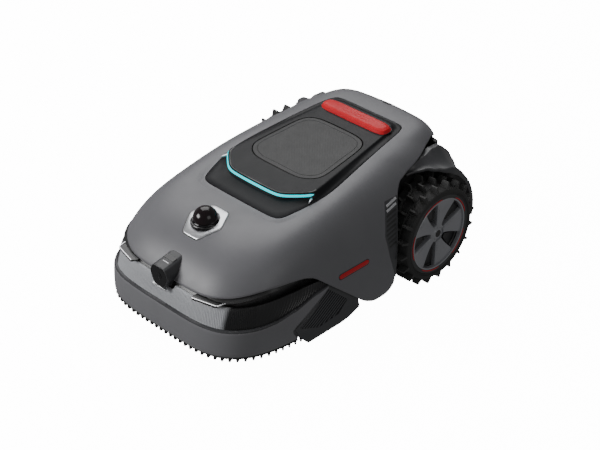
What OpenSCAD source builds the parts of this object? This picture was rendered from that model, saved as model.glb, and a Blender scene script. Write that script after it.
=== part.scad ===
/* [Overall] */
// Half width at the widest part of the body
body_hw = 207; // [203:1:210]
// Distance from the centre to the front of the bumper
body_hl = 308; // [305:1:309]
// Height of the shell around the stop button
deck_top = 264; // [262:1:266]
// Wall thickness of the moulded covers
wall = 3; // [2.5:0.5:3]

/* [Drive wheels] */
// Radius over the tyre lugs, which is also the axle height
wheel_r = 104; // [102:1:105]
// Axle position behind the centre
axle_y = 188; // [187:1:190]
// Number of lugs around each edge of the tyre
lug_count = 20; // [16:1:22]

/* [Cutting deck] */
// Radius of the blade carrier disc
disc_r = 84; // [80:1:86]
// Height of the disc's lower face above the ground at rest
disc_z = 44; // [42:1:46]
// Travel of the height adjustment, upward from rest
lift_up = 20; // [10:1:20]
// Sideways travel of the disc towards the edge of the lawn
shift_x = 70; // [40:1:72]

/* [Casters] */
// Radius of the front caster wheels
caster_r = 34; // [32:1:34]
// Distance from a caster's swivel axis back to its axle
caster_trail = 15; // [12:1:16]

/* [Hidden] */
$fn = 48;

shell_grey = [0.33, 0.33, 0.35];
dark_grey = [0.16, 0.16, 0.17];
black = [0.06, 0.06, 0.065];
silver = [0.75, 0.76, 0.78];
red = [0.78, 0.1, 0.12];
steel = [0.6, 0.61, 0.63];

// Outlines are convex polygons with rounded corners. Each edge is [angle of its normal, distance],
// and the higher the power, the sharper the corners.
function edge_sum(edges, t, p) =
    [for (e = edges) pow(max(0, cos(t - e[0])) / e[1], p)] * [for (e = edges) 1];
function polygon_r(edges, t, p) = pow(edge_sum(edges, t, p), -1 / p);
function squircle_r(a, b, t, p) = pow(pow(abs(cos(t)) / a, p) + pow(abs(sin(t)) / b, p), -1 / p);
function outline(edges, p, count, grow = 0) =
    [for (i = [0:count - 1]) let (t = 360 * i / count, r = polygon_r(edges, t, p) + grow)
        [r * cos(t), r * sin(t)]];

// The deck opening in the shell, the raised plateau in it and the lid on that, seen from above
opening_edges = [[-90, 114], [-66, 153], [-114, 153], [-15.3, 124.5], [195.3, 124.5],
    [8, 120.1], [172, 120.1], [90, 228]];
plateau_edges = [[-90, 74], [-50, 96], [-130, 96], [7, 101], [173, 101], [90, 212]];
lid_y = 58;
lid_edges = [[-90, 80], [-48, 101], [-132, 101], [5, 84], [175, 84], [52, 104], [128, 104], [90, 86]];
stop_y = 188;
stop_edges = [[-90, 17], [90, 17], [0, 82], [180, 82], [67, 42], [113, 42], [-67, 42], [-113, 42]];
opening_power = 18;
shell_hw = body_hw - 2;

// The deck rises from the nose to the stop button
deck_drop = 46;
function deck_z(y) = deck_top - deck_drop * pow(max(0, 228 - y) / 342, 1.4);
plateau_tilt = 5.1;
plateau_z0 = 249;
function plateau_z(y) = plateau_z0 + y * tan(plateau_tilt);

// The shell's profile from the deck opening outward and down is a quarter of a superellipse
// that would reach the height shell_foot. It is rounder at the nose than at the rear.
shell_foot = 36;
shell_low = 39;
function shell_power(t) = lookup(t, [[-90, 2.5], [25, 2.5], [60, 6], [90, 7]]);
function shell_out(t) =
    t < 0 ? squircle_r(shell_hw, body_hl, t, 3.2) : squircle_r(shell_hw, body_hl - 18, t, 4);
function shell_in(t) = polygon_r(opening_edges, t, opening_power);
// A point of the profile: share runs from 0 at the opening to 1 at the lower edge
function shell_point(t, share, depth) =
    let (a = abs(t) > 90 ? sign(t) * (180 - abs(t)) : t,
        n = shell_power(a), r0 = shell_in(a), span = shell_out(a) - r0,
        rise = deck_z(r0 * sin(a)) - shell_foot,
        last = acos(pow((shell_low - shell_foot) / rise, n / 2)),
        b = last * share,
        rho = pow(sin(b), 2 / n), f = pow(cos(b), 2 / n),
        nr = pow(rho, n - 1) / span, nz = pow(f, n - 1) / rise, len = norm([nr, nz]),
        r = r0 + span * rho - depth * nr / len, z = shell_foot + rise * f - depth * nz / len)
    [r * cos(t), r * sin(t), z];

// Joins rows of points, each row a closed ring with an even count, into a solid. The rows wrap
// round to the first, or the two end rows, which are then flat, are closed strip by strip.
module skin(rows, wrap = false) {
    n = len(rows[0]);
    m = len(rows);
    sides = [for (i = [0:wrap ? m - 1 : m - 2], j = [0:n - 1])
        let (a = i * n + j, b = i * n + (j + 1) % n, c = ((i + 1) % m) * n + j,
            d = ((i + 1) % m) * n + (j + 1) % n)
        each [[a, c, b], [b, c, d]]];
    strips = [for (j = [0:n / 2 - 2]) [j, j + 1, n - 2 - j, n - 1 - j]];
    ends = wrap ? [] : [for (q = strips) each [[q[0], q[1], q[2]], [q[0], q[2], q[3]],
        [for (k = [2, 1, 0]) (m - 1) * n + q[k]], [for (k = [3, 2, 0]) (m - 1) * n + q[k]]]];
    polyhedron([for (row = rows) each row], concat(sides, ends), convexity = 6);
}

module both_sides() {
    children();
    mirror([1, 0, 0]) children();
}

module rounded_box(size, r) {
    linear_extrude(size[2]) polygon([for (c = [[1, 1, 0], [-1, 1, 90], [-1, -1, 180], [1, -1, 270]],
        a = [0:15:90]) [c[0] * (size[0] / 2 - r) + r * cos(a + c[2]), c[1] * (size[1] / 2 - r) + r * sin(a + c[2])]]);
}

// ---- shell and deck ----

// Side view of the shell's lower edge: level along the nose, arched down to the flap in front of
// the wheel, then up the flap's rear edge and along the wheel arch
nose_z = 143;
flap_z = 41;
flap_y = [6, 80];
arch_y = -119;
shoulder_z = 213;
edge_side = [[-400, nose_z], [-267, nose_z], [arch_y - 8, nose_z + 6], [arch_y + 4, nose_z + 5],
    [flap_y[0] - 8, flap_z + 5], [flap_y[0], flap_z], [flap_y[1] - 4, flap_z], [flap_y[1], flap_z + 5],
    [flap_y[1], shoulder_z], [240, 247], [400, 236]];

shell_steps = 9;
module shell_skin() {
    angles = concat([for (t = [-90:6:84]) t], [90]);
    all_angles = concat(angles, [for (i = [len(angles) - 2:-1:1]) 180 - angles[i]]);
    skin([for (t = all_angles) let (a = t > 180 ? t - 360 : t) concat(
        [for (k = [0:shell_steps]) shell_point(a, k / shell_steps, 0)],
        [for (k = [shell_steps:-1:0]) shell_point(a, k / shell_steps, wall)])], true);
}

module side_profile(points, width) {
    translate([-width, 0, 0]) rotate([90, 0, 90]) linear_extrude(2 * width) polygon(points);
}

module below_edge() {
    side_profile(concat(edge_side, [[400, -10], [-400, -10]]), 300);
}

vent_y = flap_y[1] - 15;
vent_z = [112, 207];
module vent_zone(gap) {
    both_sides() translate([150, vent_y - gap, vent_z[0] - gap])
        cube([80, 12 + 2 * gap, vent_z[1] - vent_z[0] + 2 * gap]);
}

module top_shell() {
    color(shell_grey) resize([0, 0, 0]) difference() {
        shell_skin();
        below_edge();
        translate([0, plinth_y, 150]) linear_extrude(100) polygon(outline(plinth_edges, 14, 36, 0.6));
        translate([-camera_hw - 1, -330, camera_low - 25]) cube([2 * camera_hw + 2, 330 + camera_back, 90]);
        marker_pair(marker_l + 1, marker_h + 1, 70);
        rain_sensor_box(0.4);
        vent_zone(0.3);
    }
}

module vent_grilles() {
    color(black) resize([0, 0, 0]) difference() {
        intersection() {
            shell_skin();
            vent_zone(0);
        }
        both_sides() for (k = [0:7]) translate([150, vent_y + 1, vent_z[0] + 6 + 11 * k])
            rotate([18, 0, 0]) cube([80, 10, 4]);
    }
}

// The black deck: a rim around the shell's opening that rises to the plateau, in one skin
frame_steps = 60;
frame_t = 3;
module deck_frame() {
    loop = function (edges, grow, height) [for (i = [0:frame_steps - 1])
        let (t = 360 * i / frame_steps, r = polygon_r(edges, t, opening_power) + grow)
            [r * cos(t), r * sin(t), height(r * sin(t))]];
    foot = function (y) min(deck_z(y) + 5, plateau_z(y) - 3);
    color(black) difference() {
        union() {
            skin([
                loop(plateau_edges, -3, function (y) plateau_z(y) - frame_t),
                loop(plateau_edges, 0, function (y) plateau_z(y) - frame_t - 2),
                loop(plateau_edges, 2, function (y) foot(y) - frame_t),
                loop(opening_edges, -4, function (y) deck_z(y) - 8),
                loop(opening_edges, -1, function (y) deck_z(y) - 7),
                loop(opening_edges, -1, function (y) deck_z(y)),
                loop(plateau_edges, 5, foot),
                loop(plateau_edges, 2.5, function (y) plateau_z(y) - 1.5),
                loop(plateau_edges, 0, function (y) plateau_z(y))
            ]);
            on_plateau() translate([0, lid_y, panel_z]) linear_extrude(-panel_z - 1)
                polygon(outline(lid_edges, 14, 48, 4));
            on_plateau() translate([0, stop_y, stop_cup]) linear_extrude(-stop_cup - 1)
                polygon(outline(stop_edges, 24, 48, 4));
        }
        on_plateau() {
            translate([0, lid_y, panel_z - 1]) linear_extrude(40) polygon(outline(lid_edges, 14, 48, 1));
            translate([0, stop_y, stop_cup + 4]) linear_extrude(40) polygon(outline(stop_edges, 24, 48, 0.8));
            translate([0, stop_y, stop_cup - 1]) cylinder(r = stem_r + 0.06, h = 10);
        }
        light_strip_solid(0.4);
        trim_solids();
    }
    color(black) on_plateau() hinge_lug();
}

// Places its children on the tilted plateau, with z = 0 at its top face
module on_plateau() {
    translate([0, 0, plateau_z0]) rotate([plateau_tilt, 0, 0]) children();
}

module light_strip_solid(gap) {
    edge = [for (t = [-162:4:-18]) let (r = polygon_r(plateau_edges, t, opening_power))
        if (r * sin(t) < -34) [t, r]];
    rows = [for (e = edge) let (c = cos(e[0]), s = sin(e[0]), z = plateau_z(e[1] * s) - 5)
        [for (q = [[1.5 - gap, -4 - gap], [1.5 - gap, gap], [6, gap], [6, -4 - gap]])
            [(e[1] + q[0]) * c, (e[1] + q[0]) * s, z + q[1]]]];
    skin(rows);
}

module light_strip() {
    color([0.25, 0.9, 0.95]) light_strip_solid(0);
}

module trim_solids() {
    both_sides() translate([106, -34, deck_z(-34) + 1]) rotate([-4, 0, -70])
        linear_extrude(6) polygon([[-2, 0], [0, -2.5], [15, 0], [0, 2.5]]);
}

module deck_trims() {
    color(silver) trim_solids();
}

// ---- controls under the lid ----

panel_z = -26;
panel_t = 6;
key_x = [-42, -14, 14, 42];
key_y = 20;
key_r = 9;
display_y = 75;
board_z = -40;
module control_panel() {
    color(black) on_plateau() difference() {
        union() {
            translate([0, lid_y, panel_z]) linear_extrude(panel_t) polygon(outline(lid_edges, 14, 48, 0.9));
            for (x = [-55, 55], y = [30, 100]) translate([x, y, board_z]) cylinder(r = 4, h = panel_z - board_z);
        }
        for (x = key_x) translate([x, key_y, panel_z - 1]) cylinder(r = key_r + 0.08, h = 8);
        translate([0, display_y, panel_z + panel_t - 2]) rounded_box([84, 44, 3], 4);
    }
}

module display() {
    color([0.05, 0.08, 0.1]) on_plateau() translate([0, display_y, panel_z + panel_t - 2])
        rounded_box([83, 43, 2.4], 3.5);
}

module main_board() {
    color([0.05, 0.25, 0.12]) on_plateau() translate([0, 65, board_z - 1.6]) {
        rounded_box([126, 92, 1.6], 3);
        translate([-30, 10, -9]) rounded_box([34, 34, 9.1], 1);
        translate([25, -12, -7]) rounded_box([40, 26, 7.1], 1);
        for (x = [-45:15:45]) translate([x, -34, -12]) cylinder(r = 5, h = 12.1);
    }
}

module key(i) {
    color(dark_grey) on_plateau() translate([key_x[i], key_y, panel_z + 1.5]) {
        cylinder(r = key_r, h = 6.5);
        translate([0, 0, -3]) cylinder(r = 4, h = 3.1);
    }
}

// The lid turns about a thin pin in its own rounded front edge
lid_t = 4;
hinge_y = lid_y - lid_edges[0][1] + 2.6;
hinge_z = -lid_t / 2;
lug_hw = 10;
pin_r = 1;
module along_x(x0, x1, r) {
    translate([x0, 0, 0]) rotate([0, 90, 0]) cylinder(r = r, h = x1 - x0);
}

module lid() {
    color(black) on_plateau() difference() {
        union() {
            difference() {
                translate([0, lid_y, -lid_t]) linear_extrude(lid_t) polygon(outline(lid_edges, 14, 48, -0.6));
                translate([-100, hinge_y - 20, -10]) cube([200, 20, 20]);
            }
            for (x = [-34, lug_hw + 0.3]) translate([0, hinge_y, hinge_z])
                along_x(x, x + 34 - lug_hw - 0.3, lid_t / 2);
        }
        translate([-lug_hw - 0.3, hinge_y - 5, -10]) cube([2 * lug_hw + 0.6, 7.6, 20]);
        both_sides() translate([35, hinge_y - 5, -10]) cube([60, 7.5, 20]);
        translate([0, hinge_y, hinge_z]) along_x(-33, 33, pin_r + 0.05);
    }
}

module hinge_lug() {
    difference() {
        union() {
            translate([0, hinge_y, hinge_z]) along_x(-lug_hw, lug_hw, 1.9);
            translate([-lug_hw, hinge_y - 5, hinge_z - 1.9]) cube([2 * lug_hw, 5, 1.9]);
        }
        translate([0, hinge_y, hinge_z]) along_x(-20, 20, pin_r);
    }
}

module lid_hinge_pin() {
    color(steel) on_plateau() translate([0, hinge_y, hinge_z]) along_x(-32, 32, pin_r);
}

stop_cup = -24;
stem_r = 6;
module stop_button() {
    rim = outline(stop_edges, 24, 48, 0);
    color(red) on_plateau() translate([0, stop_y, 0]) {
        skin([for (k = [[-9, 0], [2, 0], [6, 3.5], [8, 8]]) [for (p = rim)
            [p[0] * (1 - k[1] / 82), p[1] * (1 - k[1] / 24), k[0]]]]);
        translate([0, 0, stop_cup]) cylinder(r = stem_r, h = 16);
    }
}

module rain_sensor_box(gap) {
    translate([0, 274, 253.5 - gap]) rotate([-16, 0, 0])
        rounded_box([15 + 2 * gap, 10 + 2 * gap, 9], 3);
}

module rain_sensor() {
    color(black) rain_sensor_box(0);
}

// ---- laser scanner and camera ----

plinth_y = -192;
plinth_edges = [[-90, 38], [90, 38], [-28, 35], [208, 35], [28, 35], [152, 35]];
ring_z = 210;
ring_r = 25;
module lidar_plinth() {
    base = outline(plinth_edges, 14, 36, 0);
    top = function (p, s) [p[0] * s, p[1] * s + plinth_y, 206 + (p[1] * s) * 0.24];
    color(silver) difference() {
        skin([
            [for (p = base) [p[0], p[1] + plinth_y, 176]],
            [for (p = base) top(p, 1) - [0, 0, 5]],
            [for (p = base) top(p, 0.9)]
        ]);
        translate([0, plinth_y, 170]) cylinder(r = ring_r + 0.1, h = 100);
    }
}

rotor_stem_r = 4;
module lidar_ring() {
    color(black) translate([0, plinth_y, 0]) difference() {
        union() {
            translate([0, 0, 180]) cylinder(r = 23.5, h = ring_z - 180);
            translate([0, 0, ring_z - 3]) cylinder(r = ring_r, h = 8);
        }
        translate([0, 0, 190]) cylinder(r = 19.5, h = 40);
        translate([0, 0, 170]) cylinder(r = rotor_stem_r + 0.05, h = 30);
    }
}

dome_r = 21.5;
module lidar_dome() {
    color([0.1, 0.05, 0.06]) translate([0, plinth_y, ring_z + 5]) difference() {
        union() {
            cylinder(r = dome_r, h = 5);
            translate([0, 0, 5]) sphere(r = dome_r);
        }
        translate([0, 0, -1]) cylinder(r = dome_r - 2, h = 6);
        translate([0, 0, 5]) sphere(r = dome_r - 2);
        translate([0, 0, -60]) cylinder(r = 60, h = 60);
    }
}

module lidar_rotor() {
    color(dark_grey) translate([0, plinth_y, 0]) {
        translate([0, 0, 184]) cylinder(r = rotor_stem_r, h = 8);
        difference() {
            translate([0, 0, 192]) cylinder(r = 14, h = 36);
            translate([-7, -20, 212]) cube([14, 12, 12]);
        }
    }
}

camera_hw = 24;
camera_low = 125;
camera_back = -250;
module camera_housing() {
    section = function (hw, y, low, high) let (mid = low + (high - low) * 0.45)
        [[-hw * 0.55, y, low], [hw * 0.55, y, low], [hw, y, mid], [hw * 0.8, y, high], [-hw * 0.8, y, high], [-hw, y, mid]];
    color(dark_grey) difference() {
        skin([section(22, -251, camera_low + 1, 185), section(24, -275, camera_low, 177), section(24, -295, camera_low, 168),
            section(21, -303, camera_low + 2, 164)]);
        translate([0, -290, 145]) rotate([90, 0, 0]) cylinder(r = 9, h = 20);
    }
}

module camera_window() {
    color(black) translate([0, -290, 145]) rotate([90, 0, 0]) {
        cylinder(r = 9, h = 12);
        translate([0, 0, 12]) cylinder(r1 = 8.6, r2 = 5, h = 2);
    }
}

// Light blades that stand out under the corners of the nose
module front_lamps() {
    color(silver) both_sides() translate([0, 0, nose_z - 6]) linear_extrude(5)
        polygon([[84, -303], [131, -292], [147, -262], [139, -262], [124, -276], [84, -284]]);
}

marker_y = -27;
marker_z = 124;
marker_l = 74;
marker_h = 9;
module marker_pair(length, height, depth) {
    both_sides() translate([196.5, marker_y, marker_z]) rotate([90, 0, 90])
        rounded_box([length, height, depth], 3);
}

module side_markers() {
    color(red) marker_pair(marker_l, marker_h, 7.5);
}

// ---- chassis ----

floor_z = 78;
floor_t = 4;
tub_wall = 4;
tub_hw = 172;
bay_hw = 138;
tray_top = 150;
bay_top = 214;
bay_front = 66;
bay_rear = 262;
disc_y = -22;
// The tray follows the shell's plan at the front and is cut straight behind, before the wheels
tray_share = 0.86;
tray_rear = 72;
function tray_points(in) = concat(
    [for (t = [-180:10:0]) let (r = shell_out(t) * tray_share - in)
        [max(-tub_hw + in, min(tub_hw - in, r * cos(t))), r * sin(t)]],
    [[tub_hw - in, tray_rear - in], [in - tub_hw, tray_rear - in]]);

module chassis_tub() {
    bay = [2 * bay_hw, bay_rear - bay_front];
    color(black) difference() {
        union() {
            translate([0, 0, floor_z]) linear_extrude(tray_top - floor_z) polygon(tray_points(0));
            translate([-bay_hw, bay_front, floor_z]) cube([bay[0], bay[1], bay_top - floor_z]);
        }
        difference() {
            union() {
                translate([0, 0, floor_z + floor_t]) linear_extrude(100) polygon(tray_points(tub_wall));
                translate([tub_wall - bay_hw, bay_front - 6, floor_z + floor_t])
                    cube([bay[0] - 2 * tub_wall, bay[1] + 6 - tub_wall, 200]);
            }
            both_sides() translate([caster_x, caster_y, 0]) cylinder(r = 14, h = boss_top);
            for (x = rod_x, y = rod_y) translate([x, y, 0]) cylinder(r = 8, h = floor_z + 10);
        }
        translate([-44, disc_y - 42, 0]) cube([88 + shift_x, 84, 100]);
        translate([-camera_hw - 1, -330, camera_low - 1]) cube([2 * camera_hw + 2, 330 + camera_back, 90]);
        both_sides() {
            translate([caster_x, caster_y, 0]) cylinder(r = swivel_r + 0.05, h = boss_top + 1);
            translate([0, axle_y, wheel_r]) along_x(100, 150, shaft_r + 1);
        }
        for (x = rod_x, y = rod_y) translate([x, y, floor_z + 2]) cylinder(r = rod_r, h = 20);
        for (p = screw_places) translate([p[0], p[1], 0]) cylinder(r = 2, h = 100);
    }
}

screw_places = [for (s = [-1, 1], p = [[150, -235], [160, -60], [160, 40], [110, 245]]) [s * p[0], p[1]]];
module shell_screws() {
    color(steel) for (p = screw_places) translate([p[0], p[1], 0]) {
        translate([0, 0, floor_z - 2.5]) cylinder(r = 4, h = 2.5);
        translate([0, 0, floor_z - 0.5]) cylinder(r = 2, h = 10);
    }
}

module rear_panel() {
    arc = function (in) [for (x = [130:-20:-130]) [x, 284 - in - 12 * pow(abs(x) / 130, 3)]];
    inner = arc(8);
    color(dark_grey) difference() {
        translate([0, 0, 90]) linear_extrude(145)
            polygon(concat(arc(0), [for (i = [len(inner) - 1:-1:0]) inner[i]]));
        for (z = [122:14:206]) translate([-90, 280, z]) cube([180, 20, 6]);
        for (x = contact_x) translate([x - 8, 270, 96]) cube([16, 30, 14]);
    }
    color(dark_grey) for (x = [-110, 110]) translate([x - 8, bay_rear, 100]) cube([16, 6, 100]);
}

contact_x = [-32, 32];
module charge_contacts() {
    color([0.8, 0.6, 0.3]) for (x = contact_x) translate([x - 8, 270, 96]) cube([16, 14.5, 14]);
}

module battery_pack() {
    color([0.1, 0.12, 0.16]) translate([0, 170, floor_z + floor_t]) {
        rounded_box([100, 150, 52], 5);
        translate([0, -82, 10]) rounded_box([40, 15, 20], 2);
    }
}

shaft_r = 8;
module gearmotors() {
    color(steel) both_sides() difference() {
        translate([0, axle_y, wheel_r]) union() {
            along_x(62, 112, 20);
            along_x(112, 133.9, 19);
        }
        translate([0, axle_y, wheel_r]) along_x(100, 150, shaft_r + 0.05);
    }
}

module side_skirt() {
    profile = [[tub_hw, 30], [206, 30], [208, 36], [200, 58], [196, 100], [187, 152], [tub_hw, 152]];
    color(black) difference() {
        intersection() {
            side_profile([[-141, 30], [-62, 30], [-6, 42], [-6, 75], [-97, 152], [-112, 152]], 300);
            translate([0, 100, 0]) rotate([90, 0, 0]) linear_extrude(300) polygon(profile);
        }
        for (k = [0:8]) translate([tub_hw + 10, -124 + 9 * k, 50]) rotate([-38, 0, 0])
            translate([0, 0, 4 * (k > 5 ? k - 5 : 0)]) cube([60, 4, 92 - 8 * k]);
    }
}

// Saddle over the rear of each drive wheel: its shoulder swells up under the shell, and its rim
// runs in towards the body over the top of the wheel
fender_r = body_hl + 1 - axle_y;
fender_in = 111;
fender_x0 = 139;
module fender() {
    shoulder = function (a) lookup(a, [[-8, 119], [10, fender_r], [30, 136], [55, 148], [80, 135], [104, 126]]);
    rim_x = function (a) lookup(a, [[60, 197], [70, 192], [78, 182], [86, 168], [104, 153]]);
    rim_at = function (a) lookup(a, [[40, fender_r], [62, 125], [78, 119], [104, 117]]);
    rows = [for (a = [104:-8:-8]) let (r1 = shoulder(a), x1 = rim_x(a), r2 = rim_at(a), x2 = min(x1 - 5, 150))
        [for (q = [[fender_x0, fender_in], [fender_x0, r1], [x2, r1], [x1 - 1.5, r2], [x1, r2 - 1.5], [x1, fender_in],
            [x1 - 2, fender_in], [x1 - 3, r2 - 5], [x1 - 3.5, r2 - 4.5], [x2 - 1, r1 - 4], [fender_x0 + 3, r1 - 4],
            [fender_x0 + 3, fender_in]])
            [q[0], axle_y + q[1] * cos(a), wheel_r + q[1] * sin(a)]]];
    skin(rows);
}

module wheel_fenders() {
    color(black) both_sides() fender();
}

// ---- bumper ----

band_low = 45;
band_top = 97;
window_top = 134;
window_notch = 120;
comb_low = 34;
bumper_span = [for (t = [-31:-4:-149]) t];
function bumper_r(t) = squircle_r(body_hw - 3, body_hl, t, 3.8);
module bumper_skin(profile) {
    rows = [for (t = bumper_span) [for (q = profile) let (r = bumper_r(t) - q[0])
        [r * cos(t), r * sin(t) - 1, q[1]]]];
    resize([0, 0, 0]) difference() {
        union() {
            skin(rows);
            children();
        }
        side_profile([[-147, -10], [-147, 30], [-116, 160], [100, 160], [100, -10]], 300);
    }
}

module bumper_band() {
    color([0.45, 0.45, 0.47]) bumper_skin([[20, band_low], [1.5, band_low], [0, band_low + 4], [1.5, band_top],
        [24, band_top], [24, band_top - 3], [4.5, band_top - 3], [4, band_low + 5], [4.2, band_low + 3],
        [20, band_low + 3]]);
}

module bumper_window() {
    color(black) difference() {
        bumper_skin([[8, band_top], [22, window_top], [26, window_top], [26, window_top - 4],
            [25, window_top - 4], [12, band_top]]);
        translate([-camera_hw - 3, -320, window_notch]) cube([2 * camera_hw + 6, 80, 40]);
    }
}

module bumper_comb() {
    color(black) bumper_skin([[18, comb_low + 6], [2, comb_low + 6], [1, band_low - 2], [1.5, band_low],
        [17, band_low], [18, band_low - 1]])
        for (t = [-139:3.3:-40.5]) let (r = bumper_r(t) - 10) translate([r * cos(t), r * sin(t) - 1, comb_low])
            rotate([0, 0, t]) translate([-4, -2, 0]) cube([9, 4, 6.5]);
}

// ---- drive wheels ----

tyre_x = [148, 215];
rim_r = 79.5;
stripe_r = 82;
stripe_t = 4;
lug_base = 92;
row_w = 30;
function lug_ring(turn) = [for (i = [0:lug_count - 1], q = [[-0.36, lug_base], [-0.2, wheel_r], [0.13, wheel_r],
    [0.3, lug_base]]) let (a = 360 * (i + q[0] + turn) / lug_count) [q[1] * cos(a), q[1] * sin(a)]];

// Everything on the left wheel is drawn along its axle, from the inner side outward
module at_wheel() {
    translate([0, axle_y, wheel_r]) rotate([90, 0, 90]) children();
}

module tyre() {
    color(black) at_wheel() difference() {
        union() {
            translate([0, 0, tyre_x[0]]) linear_extrude(row_w) polygon(lug_ring(0));
            translate([0, 0, tyre_x[0] + row_w]) cylinder(r = lug_base - 1, h = 5);
            translate([0, 0, tyre_x[0] + row_w + 4]) linear_extrude(row_w) polygon(lug_ring(0.5));
            translate([0, 0, tyre_x[1] - 4]) cylinder(r1 = lug_base - 1, r2 = lug_base - 3, h = 4);
        }
        translate([0, 0, tyre_x[0] - 1]) cylinder(r = rim_r, h = 80);
        translate([0, 0, tyre_x[1] - stripe_t]) cylinder(r = stripe_r, h = 10);
    }
}

module rim() {
    color(dark_grey) at_wheel() {
        difference() {
            translate([0, 0, tyre_x[0] + 2]) cylinder(r = rim_r, h = 60);
            difference() {
                translate([0, 0, tyre_x[0] + 1]) cylinder(r = rim_r - 4, h = 40);
                translate([0, 0, tyre_x[0]]) cylinder(r = 18, h = 50);
            }
            translate([0, 0, tyre_x[0] + 50]) cylinder(r = rim_r - 4, h = 20);
            for (i = [0:4]) rotate([0, 0, 72 * i + 36]) translate([48, 0, tyre_x[0]])
                rotate([0, 0, -90]) linear_extrude(80) polygon([[-10, -22], [10, -22], [22, 20], [-22, 20]]);
        }
        translate([0, 0, 104]) cylinder(r = shaft_r, h = tyre_x[0] - 101);
    }
}

module hub_cap() {
    color([0.3, 0.31, 0.33]) at_wheel() difference() {
        translate([0, 0, tyre_x[0] + 50]) cylinder(r1 = rim_r - 4, r2 = rim_r - 6, h = 13);
        translate([0, 0, tyre_x[0] + 57]) difference() {
            cylinder(r = rim_r - 9, h = 10);
            translate([0, 0, -1]) cylinder(r1 = 24, r2 = 20, h = 12);
            for (i = [0:4]) rotate([0, 0, 72 * i]) translate([0, 0, -1])
                linear_extrude(12) polygon([[0, -9], [72, -21], [72, 21], [0, 9]]);
        }
        for (i = [0:4]) rotate([0, 0, 72 * i + 36]) translate([48, 0, tyre_x[0] + 40])
            rotate([0, 0, -90]) linear_extrude(40) polygon([[-7, -18], [7, -18], [17, 17], [-17, 17]]);
    }
}

module pinstripe() {
    color(red) at_wheel() difference() {
        translate([0, 0, tyre_x[1] - stripe_t]) cylinder(r = stripe_r, h = stripe_t - 0.5);
        translate([0, 0, tyre_x[1] - 10]) cylinder(r = rim_r, h = 20);
    }
}

// ---- casters ----

caster_x = 118;
caster_y = -190;
swivel_r = 6;
boss_top = 112;
crown_z = 72;
caster_w = 22;
fork_w = 30;
module fork() {
    color(black) translate([caster_x, caster_y, 0]) {
        translate([0, 0, crown_z + 1]) cylinder(r = swivel_r, h = 36);
        translate([-fork_w / 2, -15, crown_z]) cube([fork_w, 34, floor_z - 1 - crown_z]);
        for (x = [-fork_w / 2, caster_w / 2 + 1]) translate([x, 0, 0])
            rotate([90, 0, 90]) linear_extrude(3) polygon([[-12, crown_z + 1], [19, crown_z + 1],
                [caster_trail + 7, caster_r - 5], [caster_trail - 7, caster_r - 5]]);
        translate([0, caster_trail, caster_r]) along_x(-fork_w / 2 - 1, fork_w / 2 + 1, 3);
    }
}

module caster_wheel() {
    color(dark_grey) translate([caster_x, caster_y + caster_trail, caster_r]) rotate([0, 90, 0]) difference() {
        rotate_extrude() polygon([[0, -7], [9, -7], [9, -caster_w / 2], [13, -caster_w / 2], [14, -6], [24, -6],
            [26, -caster_w / 2], [caster_r - 4, -caster_w / 2], [caster_r, -7], [caster_r, 7],
            [caster_r - 4, caster_w / 2], [26, caster_w / 2], [24, 6], [14, 6], [13, caster_w / 2],
            [9, caster_w / 2], [9, 7], [0, 7]]);
        translate([0, 0, -20]) cylinder(r = 3.05, h = 40);
    }
}

// ---- cutting deck ----

rod_r = 5;
rod_x = [-76, 146];
rod_y = [disc_y - 53, disc_y + 53];
frame_z = 96;
lift_rod = frame_z - floor_z + 26 + lift_up;
rail_z = 112;
rail_y = [disc_y - 35, disc_y + 35];
rail_r = 4;
module lift_rods() {
    color(steel) for (x = rod_x, y = rod_y) translate([x, y, floor_z + 2]) cylinder(r = rod_r, h = lift_rod);
}

module lift_frame() {
    color(dark_grey) difference() {
        union() {
            translate([rod_x[0] - 8, rod_y[0] - 8, frame_z]) cube([238, 122, 8]);
            for (x = rod_x, y = rod_y) translate([x, y, frame_z]) cylinder(r = 8, h = 22);
            for (x = [rod_x[0] + 8, rod_x[1] - 18]) translate([x, rail_y[0] - 8, frame_z])
                cube([10, rail_y[1] - rail_y[0] + 16, rail_z - frame_z + 6]);
        }
        translate([rod_x[0] + 18, disc_y - 44, frame_z - 1]) cube([rod_x[1] - rod_x[0] - 36, 88, 10]);
        for (x = rod_x, y = rod_y) translate([x, y, 0]) cylinder(r = rod_r + 0.06, h = 200);
        for (y = rail_y) translate([0, y, rail_z]) along_x(-90, 160, rail_r);
    }
    color(steel) for (y = rail_y) translate([0, y, rail_z]) along_x(rod_x[0] + 9, rod_x[1] - 9, rail_r);
}

motor_r = 32;
module shift_carriage() {
    color(dark_grey) difference() {
        translate([-40, disc_y - 43, rail_z - 7]) cube([80, 86, 14]);
        for (y = rail_y) translate([0, y, rail_z]) along_x(-50, 50, rail_r + 0.06);
        translate([0, disc_y, 0]) cylinder(r = 22, h = 200);
    }
}

spindle_r = 4;
module blade_motor() {
    color(steel) translate([0, disc_y, 0]) difference() {
        union() {
            translate([0, 0, 60]) cylinder(r = motor_r, h = rail_z - 67);
            translate([0, 0, 100]) cylinder(r = 22, h = 16);
        }
        cylinder(r = spindle_r + 0.05, h = 104);
    }
}

disc_t = 4;
pivot_r = 70;
screw_r = 2;
module blade_disc() {
    color(dark_grey) translate([0, disc_y, disc_z]) difference() {
        union() {
            cylinder(r = disc_r, h = disc_t);
            cylinder(r1 = 30, r2 = 14, h = 12);
            cylinder(r = spindle_r, h = 58);
        }
        for (i = [0:2]) rotate([0, 0, 120 * i]) {
            translate([pivot_r, 0, -1]) cylinder(r = screw_r, h = 10);
            rotate([0, 0, 60]) translate([54, 0, -1]) cylinder(r = 16, h = 10);
        }
    }
}

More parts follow.
